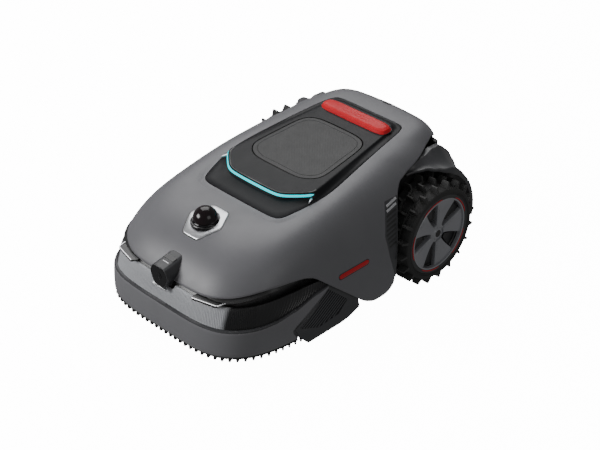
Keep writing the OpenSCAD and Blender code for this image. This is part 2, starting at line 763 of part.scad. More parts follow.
blade_z = disc_z - 1.6;
module blade_screws() {
    color(steel) for (i = [0:2]) translate([0, disc_y, 0]) rotate([0, 0, 120 * i])
        translate([pivot_r, 0, 0]) {
            translate([0, 0, blade_z - 2.6]) cylinder(r = 4.5, h = 2.2);
            translate([0, 0, blade_z - 1]) cylinder(r = screw_r, h = disc_z + disc_t - blade_z + 1);
        }
}

module blade(i) {
    color(silver) translate([0, disc_y, blade_z]) rotate([0, 0, 120 * i]) translate([pivot_r, 0, 0])
        difference() {
            translate([11, 0, 0]) rounded_box([36, 18, 1], 3);
            translate([0, 0, -1]) cylinder(r = screw_r + 0.08, h = 3);
            translate([14, 0, -1]) rounded_box([12, 5, 3], 2);
        }
}

top_shell();
deck_frame();
light_strip();
deck_trims();
control_panel();
display();
main_board();
lidar_plinth();
lidar_ring();
lidar_dome();
lidar_rotor();
camera_housing();
camera_window();
front_lamps();
side_markers();
vent_grilles();
rain_sensor();
wheel_fenders();
side_skirt();  // left_skirt
mirror([1, 0, 0]) side_skirt();  // right_skirt
chassis_tub();
rear_panel();
charge_contacts();
battery_pack();
gearmotors();
shell_screws();
bumper_band();
bumper_window();
bumper_comb();
lid();
lid_hinge_pin();
stop_button();
key(0);  // power_key
key(1);  // home_key
key(2);  // start_key
key(3);  // lock_key
tyre();  // left_tyre
rim();  // left_rim
hub_cap();  // left_hub_cap
pinstripe();  // left_pinstripe
mirror([1, 0, 0]) tyre();  // right_tyre
mirror([1, 0, 0]) rim();  // right_rim
mirror([1, 0, 0]) hub_cap();  // right_hub_cap
mirror([1, 0, 0]) pinstripe();  // right_pinstripe
fork();  // left_fork
caster_wheel();  // left_caster_wheel
mirror([1, 0, 0]) fork();  // right_fork
mirror([1, 0, 0]) caster_wheel();  // right_caster_wheel
lift_rods();
lift_frame();
shift_carriage();
blade_motor();
blade_disc();
blade_screws();
blade(0);  // blade_1
blade(1);  // blade_2
blade(2);  // blade_3
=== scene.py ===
import math

import bmesh
import bpy
from mathutils import Matrix, Vector


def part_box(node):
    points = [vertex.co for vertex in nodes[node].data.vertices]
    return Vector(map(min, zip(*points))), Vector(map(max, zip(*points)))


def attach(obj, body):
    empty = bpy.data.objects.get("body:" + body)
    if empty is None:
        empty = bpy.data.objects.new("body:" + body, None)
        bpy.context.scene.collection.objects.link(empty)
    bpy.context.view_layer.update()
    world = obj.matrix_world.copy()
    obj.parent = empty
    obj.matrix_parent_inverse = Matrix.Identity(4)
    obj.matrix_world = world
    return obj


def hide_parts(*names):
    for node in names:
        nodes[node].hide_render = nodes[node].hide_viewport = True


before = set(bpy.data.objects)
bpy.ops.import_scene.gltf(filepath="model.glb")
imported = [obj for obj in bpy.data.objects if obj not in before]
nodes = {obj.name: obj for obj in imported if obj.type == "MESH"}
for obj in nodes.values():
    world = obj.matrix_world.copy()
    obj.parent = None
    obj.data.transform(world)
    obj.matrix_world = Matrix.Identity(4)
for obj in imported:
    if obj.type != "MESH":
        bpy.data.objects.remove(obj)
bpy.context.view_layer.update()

MM = 0.001


def box_mm(node):
    low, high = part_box(node)
    return [v / MM for v in low], [v / MM for v in high]


# ---------------------------------------------------------------- materials

def node_material(name, roughness=0.5, metallic=0.0, coat=0.0, specular=0.5):
    """A new material with its Principled shader, returned together with its node tree."""
    material = bpy.data.materials.new(name)
    material.use_nodes = True
    tree = material.node_tree
    shader = tree.nodes["Principled BSDF"]
    shader.inputs["Roughness"].default_value = roughness
    shader.inputs["Metallic"].default_value = metallic
    shader.inputs["Coat Weight"].default_value = coat
    shader.inputs["Coat Roughness"].default_value = 0.12
    shader.inputs["Specular IOR Level"].default_value = specular
    return material, tree, shader


def add(tree, kind, **inputs):
    node = tree.nodes.new(kind)
    for key, value in inputs.items():
        node.inputs[key.replace("_", " ")].default_value = value
    return node


def object_noise(tree, scale, detail=4.0, stretch=(1, 1, 1)):
    """Noise in object space, stretched along the axes."""
    place = tree.nodes.new("ShaderNodeTexCoord")
    mapping = add(tree, "ShaderNodeMapping", Scale=stretch)
    noise = add(tree, "ShaderNodeTexNoise", Scale=scale, Detail=detail)
    tree.links.new(place.outputs["Object"], mapping.inputs["Vector"])
    tree.links.new(mapping.outputs["Vector"], noise.inputs["Vector"])
    return noise


def ramp(tree, source, low, high, start=0.3, end=0.7):
    """Maps a 0 to 1 value onto a colour between low and high."""
    node = tree.nodes.new("ShaderNodeValToRGB")
    node.color_ramp.elements[0].position = start
    node.color_ramp.elements[1].position = end
    node.color_ramp.elements[0].color = (*low, 1)
    node.color_ramp.elements[1].color = (*high, 1)
    tree.links.new(source, node.inputs["Fac"])
    return node


def blend(tree, factor, base, colour):
    """Mixes a colour over the base colour by a factor, into the Principled shader."""
    mix = tree.nodes.new("ShaderNodeMix")
    mix.data_type = "RGBA"
    sockets = {socket.name: socket for socket in mix.inputs if socket.type == "RGBA"}
    sockets["B"].default_value = (*colour, 1)
    result = [socket for socket in mix.outputs if socket.type == "RGBA"][0]
    tree.links.new(factor, mix.inputs[0])
    tree.links.new(base, sockets["A"])
    tree.links.new(result, tree.nodes["Principled BSDF"].inputs["Base Color"])


def moulded(name, colour, roughness=0.5, grain=900, bump=0.08, vary=0.1, wear=0.25, stretch=(1, 1, 1),
            **shader_values):
    """Moulded plastic, rubber or metal: cloudy colour, uneven gloss, fine grain and worn edges."""
    material, tree, shader = node_material(name, roughness, **shader_values)
    cloud = object_noise(tree, 14, 3)
    base = ramp(tree, cloud.outputs["Fac"], [c * (1 - vary) for c in colour],
                [min(1, c * (1 + vary)) for c in colour])
    geometry = tree.nodes.new("ShaderNodeNewGeometry")
    edge = ramp(tree, geometry.outputs["Pointiness"], (0, 0, 0), (wear,) * 3, 0.52, 0.62)
    blend(tree, edge.outputs["Color"], base.outputs["Color"], [min(1, c * 1.6 + 0.03) for c in colour])
    smear = object_noise(tree, 45, 5, stretch)
    gloss = tree.nodes.new("ShaderNodeMapRange")
    gloss.inputs["To Min"].default_value = max(0.03, roughness - 0.06)
    gloss.inputs["To Max"].default_value = min(1, roughness + 0.07)
    tree.links.new(smear.outputs["Fac"], gloss.inputs["Value"])
    tree.links.new(gloss.outputs["Result"], shader.inputs["Roughness"])
    fine = object_noise(tree, grain, 2, stretch)
    relief = add(tree, "ShaderNodeBump", Strength=bump, Distance=0.0004)
    tree.links.new(fine.outputs["Fac"], relief.inputs["Height"])
    tree.links.new(relief.outputs["Normal"], shader.inputs["Normal"])
    return material


def dotted(name, colour, pitch=0.0042):
    """Gloss black with a fine grid of cells, as under the lid's clear skin."""
    material, tree, shader = node_material(name, 0.33, specular=0.25)
    place = tree.nodes.new("ShaderNodeTexCoord")
    split = tree.nodes.new("ShaderNodeSeparateXYZ")
    tree.links.new(place.outputs["Object"], split.inputs["Vector"])
    waves = []
    for axis in "XY":
        scale = tree.nodes.new("ShaderNodeMath")
        scale.operation = "MULTIPLY"
        scale.inputs[1].default_value = 2 * math.pi / pitch
        wave = tree.nodes.new("ShaderNodeMath")
        wave.operation = "SINE"
        tree.links.new(split.outputs[axis], scale.inputs[0])
        tree.links.new(scale.outputs[0], wave.inputs[0])
        waves.append(wave)
    grid = tree.nodes.new("ShaderNodeMath")
    grid.operation = "MULTIPLY"
    tree.links.new(waves[0].outputs[0], grid.inputs[0])
    tree.links.new(waves[1].outputs[0], grid.inputs[1])
    base = ramp(tree, grid.outputs[0], [c * 0.55 for c in colour], [c * 1.25 for c in colour], 0.05, 0.5)
    tree.links.new(base.outputs["Color"], shader.inputs["Base Color"])
    relief = add(tree, "ShaderNodeBump", Strength=0.15, Distance=0.0003)
    tree.links.new(grid.outputs[0], relief.inputs["Height"])
    tree.links.new(relief.outputs["Normal"], shader.inputs["Normal"])
    cloud = object_noise(tree, 40, 4)
    gloss = tree.nodes.new("ShaderNodeMapRange")
    gloss.inputs["To Min"].default_value = 0.28
    gloss.inputs["To Max"].default_value = 0.4
    tree.links.new(cloud.outputs["Fac"], gloss.inputs["Value"])
    tree.links.new(gloss.outputs["Result"], shader.inputs["Roughness"])
    return material


def ribbed_painted_reflection(name, front, side):
    """Dark satin plastic with a painted reflection: light across the nose, going to its own near-black along the
    sides.
    """
    material = moulded(name, front, 0.3, bump=0.04, vary=0.03)
    tree = material.node_tree
    shader = tree.nodes["Principled BSDF"]
    place = tree.nodes.new("ShaderNodeTexCoord")
    split = tree.nodes.new("ShaderNodeSeparateXYZ")
    distance = tree.nodes.new("ShaderNodeMath")
    distance.operation = "ABSOLUTE"
    tree.links.new(place.outputs["Object"], split.inputs["Vector"])
    tree.links.new(split.outputs["X"], distance.inputs[0])
    # the painted reflection gives way to the band's own near-black between 134 and 142 mm out from the middle
    across = tree.nodes.new("ShaderNodeMapRange")
    across.inputs["From Min"].default_value = 0.134
    across.inputs["From Max"].default_value = 0.142
    tree.links.new(distance.outputs[0], across.inputs["Value"])
    blend(tree, across.outputs["Result"], shader.inputs["Base Color"].links[0].from_socket, side)
    return material


def glowing(name, colour, strength):
    material = moulded(name, colour, 0.3, vary=0.05, wear=0)
    shader = material.node_tree.nodes["Principled BSDF"]
    shader.inputs["Emission Color"].default_value = (*colour, 1)
    shader.inputs["Emission Strength"].default_value = strength
    return material


BRUSHED = (1, 14, 14)
M = {
    "shell": moulded("shell_grey", (0.13, 0.13, 0.14), 0.42, bump=0.05, vary=0.04),
    "band": moulded("bumper_grey", (0.15, 0.15, 0.16), 0.46, bump=0.06, vary=0.05),
    "trim": moulded("trim_black", (0.012, 0.012, 0.013), 0.35, bump=0.05),
    "black": moulded("black_plastic", (0.014, 0.014, 0.015), 0.5, bump=0.12),
    "deck": moulded("deck_charcoal", (0.011, 0.0115, 0.013), 0.36, bump=0.05, vary=0.08, wear=0.08,
                    specular=0.13),
    "lid": dotted("lid_cells", (0.009, 0.0095, 0.0105)),
    "gloss": moulded("gloss_black", (0.006, 0.006, 0.007), 0.16, bump=0.01, wear=0.05, specular=0.4),
    "camera": moulded("camera_charcoal", (0.045, 0.046, 0.049), 0.36, bump=0.06, specular=0.35),
    "grey": moulded("dark_grey_plastic", (0.045, 0.046, 0.05), 0.38, bump=0.08),
    # the ribbed band's light front colour is a painted reflection; the dark side colour is the band's own
    "ribs": ribbed_painted_reflection("bumper_ribs_painted_reflection", (0.4, 0.41, 0.43), (0.01, 0.01, 0.011)),
    "fender": moulded("fender_grey", (0.055, 0.056, 0.06), 0.4, bump=0.1, vary=0.1),
    "silver": moulded("brushed_silver", (0.62, 0.63, 0.65), 0.3, bump=0.12, grain=500, stretch=BRUSHED,
                      metallic=0.9),
    "chrome": moulded("bright_edge", (0.8, 0.81, 0.83), 0.14, bump=0.02, metallic=1.0),
    "steel": moulded("machined_steel", (0.5, 0.51, 0.52), 0.34, bump=0.1, grain=600, stretch=BRUSHED,
                     metallic=1.0),
    "hub": moulded("hub_metallic", (0.3, 0.305, 0.325), 0.3, bump=0.04, vary=0.06, metallic=0.5),
    "rim": moulded("rim_black", (0.02, 0.021, 0.022), 0.45, bump=0.08),
    "tyre": moulded("tyre_rubber", (0.014, 0.014, 0.014), 0.68, grain=1300, bump=0.3, vary=0.3, wear=0.5),
    "red": moulded("red_gloss", (0.5, 0.008, 0.014), 0.34, bump=0.03, vary=0.06, wear=0.05, specular=0.3),
    "stop": moulded("stop_red", (0.6, 0.008, 0.016), 0.4, bump=0.06, vary=0.05, wear=0.05, specular=0.25),
    "light": glowing("light_cyan", (0.0, 0.62, 0.7), 1.1),
    "dome": moulded("smoked_dome", (0.006, 0.002, 0.003), 0.16, bump=0.0, wear=0, specular=0.45),
    "glass": moulded("dark_glass", (0.004, 0.004, 0.005), 0.1, bump=0.0, wear=0, specular=0.4),
    "board": moulded("solder_mask", (0.01, 0.1, 0.04), 0.35, bump=0.1),
    "battery": moulded("battery_case", (0.02, 0.024, 0.036), 0.5, bump=0.1),
    "contact": moulded("plated_contact", (0.72, 0.5, 0.22), 0.25, bump=0.05, metallic=1.0),
}

# ---------------------------------------------------------------- mesh tools


def finish_piece(mesh, name, material, body, slot, stands_for=(), sharp=32, bevel=0.0):
    """Puts a mesh into the scene as a piece that rides on a body and stands for CAD nodes."""
    mesh.materials.append(M[material])
    piece = bpy.data.objects.new(name, mesh)
    bpy.context.scene.collection.objects.link(piece)
    mesh.polygons.foreach_set("use_smooth", [True] * len(mesh.polygons))
    mesh.set_sharp_from_angle(angle=math.radians(sharp))
    if bevel:
        rounding = piece.modifiers.new("edges", "BEVEL")
        rounding.width = bevel * MM
        rounding.segments = 2
        rounding.limit_method = "ANGLE"
        rounding.angle_limit = math.radians(sharp)
        rounding.harden_normals = True
    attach(piece, body)
    if stands_for:
        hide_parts(*stands_for)
    return piece


def make_mesh(name, points, faces):
    """A closed or open mesh from millimetre points, with its normals made consistent."""
    mesh = bpy.data.meshes.new(name)
    mesh.from_pydata([[c * MM for c in p] for p in points], [], faces)
    tidy = bmesh.new()
    tidy.from_mesh(mesh)
    bmesh.ops.remove_doubles(tidy, verts=tidy.verts, dist=0.00001)
    bmesh.ops.recalc_face_normals(tidy, faces=tidy.faces)
    tidy.to_mesh(mesh)
    tidy.free()
    return mesh


def grid(rows, ring=False, loop=False, caps=False):
    """Points and faces of a surface through rows of points. ring joins each row's ends, loop joins
    the last row to the first, and caps closes the end rows."""
    n = len(rows[0])
    points = [p for row in rows for p in row]
    faces = []
    for i in range(len(rows) - (0 if loop else 1)):
        k = (i + 1) % len(rows)
        for j in range(n - (0 if ring else 1)):
            m = (j + 1) % n
            faces.append((i * n + j, i * n + m, k * n + m, k * n + j))
    if caps:
        faces.append(tuple(range(n)))
        faces.append(tuple((len(rows) - 1) * n + j for j in range(n - 1, -1, -1)))
    return points, faces


def prism(outline, low, high):
    """A plan outline stood up between two heights."""
    return grid([[(*p, low) for p in outline], [(*p, high) for p in outline]], ring=True, caps=True)


def merge(*parts):
    points, faces = [], []
    for more, skin in parts:
        base = len(points)
        points += more
        faces += [tuple(base + i for i in face) for face in skin]
    return points, faces


def moved(part, matrix):
    points, faces = part
    return [tuple(matrix @ Vector(p)) for p in points], faces


def both_sides(part):
    points, faces = part
    return merge(part, ([(-x, y, z) for x, y, z in points], [tuple(reversed(f)) for f in faces]))


def box_part(low, high):
    x0, y0, z0 = low
    x1, y1, z1 = high
    return prism([(x0, y0), (x1, y0), (x1, y1), (x0, y1)], z0, z1)


def revolve(profile, steps=64):
    """(radius, height) points turned about Z."""
    rows = [[(r * math.cos(2 * math.pi * k / steps), r * math.sin(2 * math.pi * k / steps),
              z) for k in range(steps)]
            for r, z in profile]
    return grid(rows, ring=True)


def piece(name, part, material, body, slot, stands_for=(), **options):
    return finish_piece(make_mesh(name, *part), name, material, body, slot, stands_for, **options)


# ---------------------------------------------------------------- shapes shared by several pieces

cos = lambda t: math.cos(math.radians(t))
sin = lambda t: math.sin(math.radians(t))


def table(t, pairs):
    """Straight-line interpolation in a list of (key, value) pairs."""
    if t <= pairs[0][0]:
        return pairs[0][1]
    for (a, u), (b, v) in zip(pairs, pairs[1:]):
        if t <= b:
            return u + (v - u) * (t - a) / (b - a)
    return pairs[-1][1]


def polygon_r(edges, t, power):
    total = sum((max(0.0, cos(t - e[0])) / e[1]) ** power for e in edges)
    return total ** (-1 / power)


def squircle_r(a, b, t, power):
    return ((abs(cos(t)) / a) ** power + (abs(sin(t)) / b) ** power) ** (-1 / power)


def outline(edges, power, count, grow=0.0, centre=(0, 0)):
    points = []
    for i in range(count):
        t = 360 * i / count
        r = polygon_r(edges, t, power) + grow
        points.append((centre[0] + r * cos(t), centre[1] + r * sin(t)))
    return points


BODY_HL = round(-box_mm("bumper_band")[0][1]) - 1
SHELL_HW = box_mm("top_shell")[1][0]
DECK_TOP = box_mm("top_shell")[1][2]
OPENING = [(-90, 114), (-66, 153), (-114, 153), (-15.3, 124.5), (195.3, 124.5), (8, 120.1), (172, 120.1),
           (90, 228)]
PLATEAU = [(-90, 74), (-50, 96), (-130, 96), (7, 101), (173, 101), (90, 212)]
LID_Y = 58
LID = [(-90, 80), (-48, 101), (-132, 101), (5, 84), (175, 84), (52, 104), (128, 104), (90, 86)]
STOP_Y = 188
STOP = [(-90, 17), (90, 17), (0, 82), (180, 82), (67, 42), (113, 42), (-67, 42), (-113, 42)]
CORNERS = 18
PLATEAU_TILT = 5.1
PLATEAU_Z = 249
WALL = 3


def shell_foot(a):
    return table(a, [(-40, 36), (-12, 28), (25, 28), (50, 36)])


def deck_z(y):
    return DECK_TOP - 46 * (max(0, 228 - y) / 342) ** 1.4


def plateau_z(y):
    return PLATEAU_Z + y * math.tan(math.radians(PLATEAU_TILT))


ON_PLATEAU = Matrix.Translation((0, 0, PLATEAU_Z)) @ Matrix.Rotation(math.radians(PLATEAU_TILT), 4, "X")


def shell_plan(t):
    """The shell in direction t: mirrored direction, profile power, opening radius, span, foot and rise."""
    a = (180 - abs(t)) * (1 if t >= 0 else -1) if abs(t) > 90 else t
    n = table(a, [(45, 2.5), (60, 3.3), (75, 6), (90, 7)])
    r0 = polygon_r(OPENING, a, CORNERS)
    outer = squircle_r(SHELL_HW, BODY_HL, a, 3.9) if a < 0 else squircle_r(SHELL_HW, BODY_HL - 6, a, 4)
    return n, r0, outer - r0, shell_foot(a), deck_z(r0 * sin(a)) - shell_foot(a)


def shell_point(t, share, depth=0.0):
    """A point of the shell: t is the direction in plan, share runs from the opening to the foot."""
    n, r0, span, foot, rise = shell_plan(t)
    b = 90 * share
    rho, f = sin(b) ** (2 / n), cos(b) ** (2 / n)
    nr, nz = rho ** (n - 1) / span, f ** (n - 1) / rise
    length = math.hypot(nr, nz)
    r = r0 + span * rho - depth * nr / length
    return (r * cos(t), r * sin(t), foot + rise * f - depth * nz / length)


def shell_z(x, y):
    """Height of the shell over a place in plan."""
    n, r0, span, foot, rise = shell_plan(math.degrees(math.atan2(y, x)))
    rho = min(0.999, max(0.0, (math.hypot(x, y) - r0) / span))
    return foot + rise * (1 - rho ** n) ** (1 / n)


EDGE_SIDE = [(-400, 141), (-290, 141), (-283, 142), (-270, 146.8), (-246, 152.2), (-225, 156),
             (-205, 158.2), (-169, 158.4),
             (-150, 157), (-139, 155.4), (-132, 153.4), (-122, 149.6), (-113, 143.4), (-99, 131), (-8, 51),
             (4, 42.4),
             (16, 36.6), (25, 33.8), (33, 33), (50, 33.2), (58, 34.8), (66, 38.4), (73, 44.4), (77.5, 51.5),
             (80, 60),
             (81.5, 72), (85, 113), (91, 155), (97, 179), (105, 200), (112, 211), (120, 219), (128, 224.5),
             (155, 230),
             (183, 236), (213, 242), (240, 246), (262, 249), (276, 240), (400, 238)]


def edge_share(t, lift=0.0):
    """Where the shell's profile in direction t first meets the lower edge line."""
    last = 0.0
    for k in range(1, 401):
        share = k / 400 * 0.9965
        _, y, z = shell_point(t, share)
        if z < table(y, EDGE_SIDE) + lift:
            low, high = last, share
            for _ in range(24):
                middle = (low + high) / 2
                _, y, z = shell_point(t, middle)
                if z < table(y, EDGE_SIDE) + lift:
                    high = middle
                else:
                    low = middle
            return low
        last = share
    return last


# ---------------------------------------------------------------- top shell

PROFILE_STEPS = 46
FLAP_ZONE = (20.5, 34)


def shell_angles():
    """Directions round the shell, closer together where the flap's edges turn."""
    half, t = [], -90.0
    while t < 90:
        half.append(t)
        t += 0.2 if FLAP_ZONE[0] < t < FLAP_ZONE[1] else 0.5 if -45 < t < FLAP_ZONE[0] else 1.5
    half.append(90.0)
    return half + [180 - t for t in reversed(half[1:-1])]


def add3(p, q, k):
    return tuple(a + k * b for a, b in zip(p, q))


def unit(v):
    return tuple(Vector(v).normalized())


def top_shell():
    rows = []
    for t in shell_angles():
        last = edge_share(t if t <= 90 else 180 - t)
        a = t if t <= 180 else t - 360
        outer = [shell_point(a, last * k / PROFILE_STEPS) for k in range(PROFILE_STEPS + 1)]
        inner = [shell_point(a, last * k / 8, WALL) for k in range(8, -1, -1)]
        down = unit(add3(outer[-1], outer[-2], -1))
        across = add3(inner[0], outer[-1], -1)
        rim = [add3(add3(outer[-1], across, share), down, drop) for share,
               drop in ((0.2, 0.7), (0.5, 1.0), (0.8, 0.7))]
        start = add3(outer[0], (0, 0, 1), -WALL)
        rows.append([start] + outer + rim + inner[:-1])
    piece("cover", grid(rows, ring=True, loop=True), "shell", "chassis", "shell", ["top_shell"], sharp=50)
    # a dark seal runs along the whole lower edge, just inside it
    seal = []
    for t in shell_angles():
        last = edge_share(t if t <= 90 else 180 - t, 0.2)
        a = t if t <= 180 else t - 360
        outer = [shell_point(a, last * k, WALL + 0.4) for k in (0.97, 0.985, 1)]
        inner = [shell_point(a, last * k, WALL + 3) for k in (1, 0.97)]
        down = unit(add3(outer[-1], outer[-2], -1))
        seal.append(outer + [add3(outer[-1], down, 2.2), add3(inner[0], down, 2.2)] + inner)
    piece("cover_seal", grid(seal, ring=True, loop=True), "trim", "chassis", "black")


# ---------------------------------------------------------------- deck

def loop_at(edges, grow, height, count=180):
    points = []
    for i in range(count):
        t = 360 * i / count
        r = polygon_r(edges, t, CORNERS) + grow
        points.append((r * cos(t), r * sin(t), height(r * sin(t))))
    return points


def blend_loops(a, b, share, drop=0.0):
    return [tuple(u + (v - u) * share for u, v in zip(p, q))[:2] + (p[2] + (q[2] - p[2]) * share - drop,)
            for p, q in zip(a, b)]


def deck():
    foot = lambda y: min(deck_z(y) + 5, plateau_z(y) - 3)
    rim = loop_at(OPENING, -1.0, lambda y: deck_z(y) - 0.2)
    base = loop_at(PLATEAU, 6, foot)
    rows = [
        loop_at(OPENING, -1.0, lambda y: deck_z(y) - 7),
        rim,
        loop_at(OPENING, -2.2, lambda y: deck_z(y) + 0.5),
        blend_loops(loop_at(OPENING, -2.2, lambda y: deck_z(y) + 0.5), base, 0.35, 0.9),
        blend_loops(loop_at(OPENING, -2.2, lambda y: deck_z(y) + 0.5), base, 0.7, 0.8),
        base,
        loop_at(PLATEAU, 4.2, lambda y: foot(y) + (plateau_z(y) - 1.8 - foot(y)) * 0.75),
        loop_at(PLATEAU, 2.6, lambda y: plateau_z(y) - 0.9),
        loop_at(PLATEAU, 0.8, lambda y: plateau_z(y) - 0.2),
        loop_at(PLATEAU, -1.5, plateau_z),
    ]
    surround = grid(rows, ring=True)
    top = bpy.data.meshes.new("deck_top")
    work = bmesh.new()
    holes = [
        [(*p, plateau_z(p[1])) for p in outline(LID, 14, 120, 0.8, (0, LID_Y))],
        [(*p, plateau_z(p[1])) for p in outline(STOP, 24, 96, 1.2, (0, STOP_Y))],
    ]
    for ring in [rows[-1]] + holes:
        verts = [work.verts.new([c * MM for c in p]) for p in ring]
        for a, b in zip(verts, verts[1:] + verts[:1]):
            work.edges.new((a, b))
    bmesh.ops.triangle_fill(work, use_beauty=True, edges=work.edges)
    work.to_mesh(top)
    work.free()
    parts = [surround, ([tuple(c / MM for c in v.co) for v in top.vertices],
                        [tuple(f.vertices) for f in top.polygons])]
    for ring, depth in zip(holes, (26, 14)):
        parts.append(grid([ring, [(x * 0.998, y, z - 0.8) for x, y, z in ring],
                           [(x * 0.998, y, z - depth) for x, y, z in ring]],
                          ring=True))
    piece("deck_surround", merge(*parts), "deck", "chassis", "black", ["deck_frame"], sharp=40)


def lid():
    # local to the plateau, z = 0 at its top face
    thick = 4
    full = lambda grow: outline(LID, 14, 160, grow, (0, LID_Y))
    front = LID_Y - LID[0][1] + 0.6
    clip = lambda ring: [(x, max(y, front)) for x, y in ring]
    rows = []
    for grow, z in ((-2.0, -thick), (-0.9, -thick + 0.6), (-0.7, -2.2), (-0.7, -0.9), (-1.0, -0.35),
                    (-1.6, 0.0),
                    (-9, 0.0), (-9.5, -0.35), (-10.3, -0.35), (-10.8, 0.0)):
        rows.append([(x, y, z) for x, y in clip(full(grow))])
    part = moved(grid(rows, ring=True, caps=True), ON_PLATEAU)
    piece("lid_panel", part, "lid", "lid", "black_gloss", ["lid"], sharp=20)


def stop_button():
    rows = []
    rim = outline(STOP, 24, 96)
    for z, inset in ((-8, 0), (-0.5, 0), (0.6, 0.5), (5.0, 3.0), (5.6, 3.9), (7.6, 9.0), (7.9, 10.0)):
        rows.append([(x * (1 - inset / 82), y * (1 - inset / 24) + STOP_Y, z) for x, y in rim])
    button = grid(rows, ring=True, caps=True)
    bar = outline([(-90, 4), (90, 4), (0, 34), (180, 34), (60, 19), (120, 19), (-60, 19), (-120, 19)], 24,
                  64, 0, (0, STOP_Y))
    frame_in = outline([(-90, 2.9), (90, 2.9), (0, 32.5), (180, 32.5), (60, 17.6), (120, 17.6), (-60, 17.6),
                        (-120, 17.6)],
                       24, 64, 0, (0, STOP_Y))
    raised = grid([[(*p, 7.6) for p in bar], [(*p, 8.25) for p in bar], [(*p, 8.25) for p in frame_in],
                   [(*p, 7.6) for p in frame_in]], ring=True, loop=True)
    dot = moved(revolve([(0.01, 8.3), (1.7, 8.3), (1.7, 7.6), (0.01, 7.6)], 24),
                Matrix.Translation((0, STOP_Y, 0)))
    marks = merge(raised, dot, moved(dot, Matrix.Translation((-12, 0, 0))),
                  moved(dot, Matrix.Translation((12, 0, 0))))
    piece("stop_cap", moved(button, ON_PLATEAU), "stop", "stop", "red", ["stop_button"], sharp=20)
    piece("stop_marks", moved(marks, ON_PLATEAU), "stop", "stop", "red")


def contours():
    """Fine raised lines on the cover, round the deck's front corners."""
    lines = []
    for grow in (4, 7, 10, 13):
        rows = []
        for k in range(41):
            t = -146 + 38 * k / 40
            r = polygon_r(OPENING, t, CORNERS) + grow
            spot = [((r + q) * cos(t), (r + q) * sin(t)) for q in (-0.6, 0, 0.6)]
            lift = 0.32 * math.sin(math.pi * k / 40)
            rows.append([(x, y, shell_z(x, y) + h) for (x, y), h in zip(spot, (-0.3, lift, -0.3))] +
                        [(spot[1][0], spot[1][1], shell_z(*spot[1]) - 0.8)])
        lines.append(grid(rows, ring=True, caps=True))
    piece("cover_contours", both_sides(merge(*lines)), "shell", "chassis", "shell", sharp=60)


def light_strip():
    rows = []
    for k in range(121):
        t = -162 + 144 * k / 120
        r = polygon_r(PLATEAU, t, CORNERS)
        if r * sin(t) > -33:
            continue
        end = min(1.0, (abs(r * sin(t)) - 33) / 5)
        z = plateau_z(r * sin(t)) - 4.2
        rows.append([((r + q) * cos(t), (r + q) * sin(t), z + h * end) for q, h in
                     ((2.6, -2.2), (2.6, 0.9), (3.4, 1.5), (4.6, 1.6), (5.8, 0.9), (6.4, -0.4),
                      (6.4, -2.2))])
    piece("light_bar", grid(rows, ring=True, caps=True), "light", "chassis", "light", ["light_strip"])
    lip = []
    for k in range(141):
        t = -166 + 152 * k / 140
        r = polygon_r(PLATEAU, t, CORNERS)
        z = plateau_z(r * sin(t))
        lip.append([((r + q) * cos(t), (r + q) * sin(t), z + h) for q, h in
                    ((-1, -0.2), (0.5, 0.25), (2.6, -0.3), (4.0, -1.4), (3.6, -1.9), (-1, -1.6))])
    piece("light_lip", grid(lip, ring=True, caps=True), "gloss", "chassis", "black")


def chevrons():
    tip = (108.5, -40, deck_z(-40) + 4.2)
    shape = [(-1.5, 3.5), (1.5, 0), (1.2, -13), (-0.6, -13.5), (-4.5, 1.0)]
    low = [(x, y, -2.5) for x, y in shape]
    high = [(x * 0.7, y * 0.85, 1.2 if y > -5 else -0.4) for x, y in shape]
    part = moved(grid([low, high], ring=True, caps=True),
                 Matrix.Translation(tip) @ Matrix.Rotation(math.radians(18), 4, "Z"))
    piece("deck_chevrons", both_sides(part), "silver", "chassis", "silver", ["deck_trims"], sharp=20,
          bevel=0.2)


# ---------------------------------------------------------------- laser scanner, camera and lamps

def scanner():
    low, high = box_mm("lidar_ring")
    cy, top = (low[1] + high[1]) / 2, high[2]
    edges = [(-90, 38), (90, 38), (-28, 35), (208, 35), (28, 35), (152, 35)]
    base = outline(edges, 16, 120)
    hole = outline([(k * 30, 25.4) for k in range(12)], 40, 120)

    def on_shell(plan, grow, lift, share=0.0):
        """The shield's outline drawn in towards its hole, laid on the shell."""
        points = []
        for (x, y), (u, v) in zip(plan, hole):
            px, py = x * grow + (u - x * grow) * share, y * grow + (v - y * grow) * share
            points.append((px, py + cy, shell_z(px, py + cy) + lift))
        return points
    rows = [on_shell(base, 1.0, -2.5), on_shell(base, 1.0, 0.5), on_shell(base, 0.985, 1.2),
            on_shell(base, 0.96, 1.6),
            on_shell(base, 0.96, 1.9, 0.35), on_shell(base, 0.96, 2.0, 0.7), on_shell(base, 0.96, 2.0, 1.0),
            on_shell(base, 0.96, -3.0, 1.0)]
    piece("scanner_plinth", grid(rows, ring=True), "silver", "chassis", "silver", ["lidar_plinth"],
          sharp=35)
    seam = [on_shell(base, 1.03, -1.0), on_shell(base, 1.03, 0.25), on_shell(base, 0.99, 0.3),
            on_shell(base, 0.99, -1.0)]
    piece("scanner_seam", grid(seam, ring=True, loop=True), "trim", "chassis", "black", sharp=40)
    ring = [(20.5, top - 8), (20.5, top - 0.5), (21.3, top), (23.6, top), (24.4, top - 1), (24.4, top - 3),
            (26.4, top - 3.6),
            (27, top - 4.4), (27, top - 9), (26.2, top - 9.8), (25.2, top - 10), (25.2, top - 26),
            (20.5, top - 26), (20.5, top - 8)]
    piece("scanner_ring", moved(revolve(ring, 96), Matrix.Translation((0, cy, 0))), "gloss", "chassis",
          "black_gloss",
          ["lidar_ring"], sharp=35)
    dome_top = box_mm("lidar_dome")[1][2]
    radius = 22.6
    middle = dome_top - 3 - radius
    profile = [(radius, top - 1)] + [(radius * cos(a), middle + radius * sin(a)) for a in range(0, 90,
                                                                                                4)] + [(0.01, middle + radius)]
    piece("scanner_dome", moved(revolve(profile, 96), Matrix.Translation((0, cy, 0))), "dome", "chassis",
          "dome",
          ["lidar_dome"], sharp=60)


LENS_Z = 149


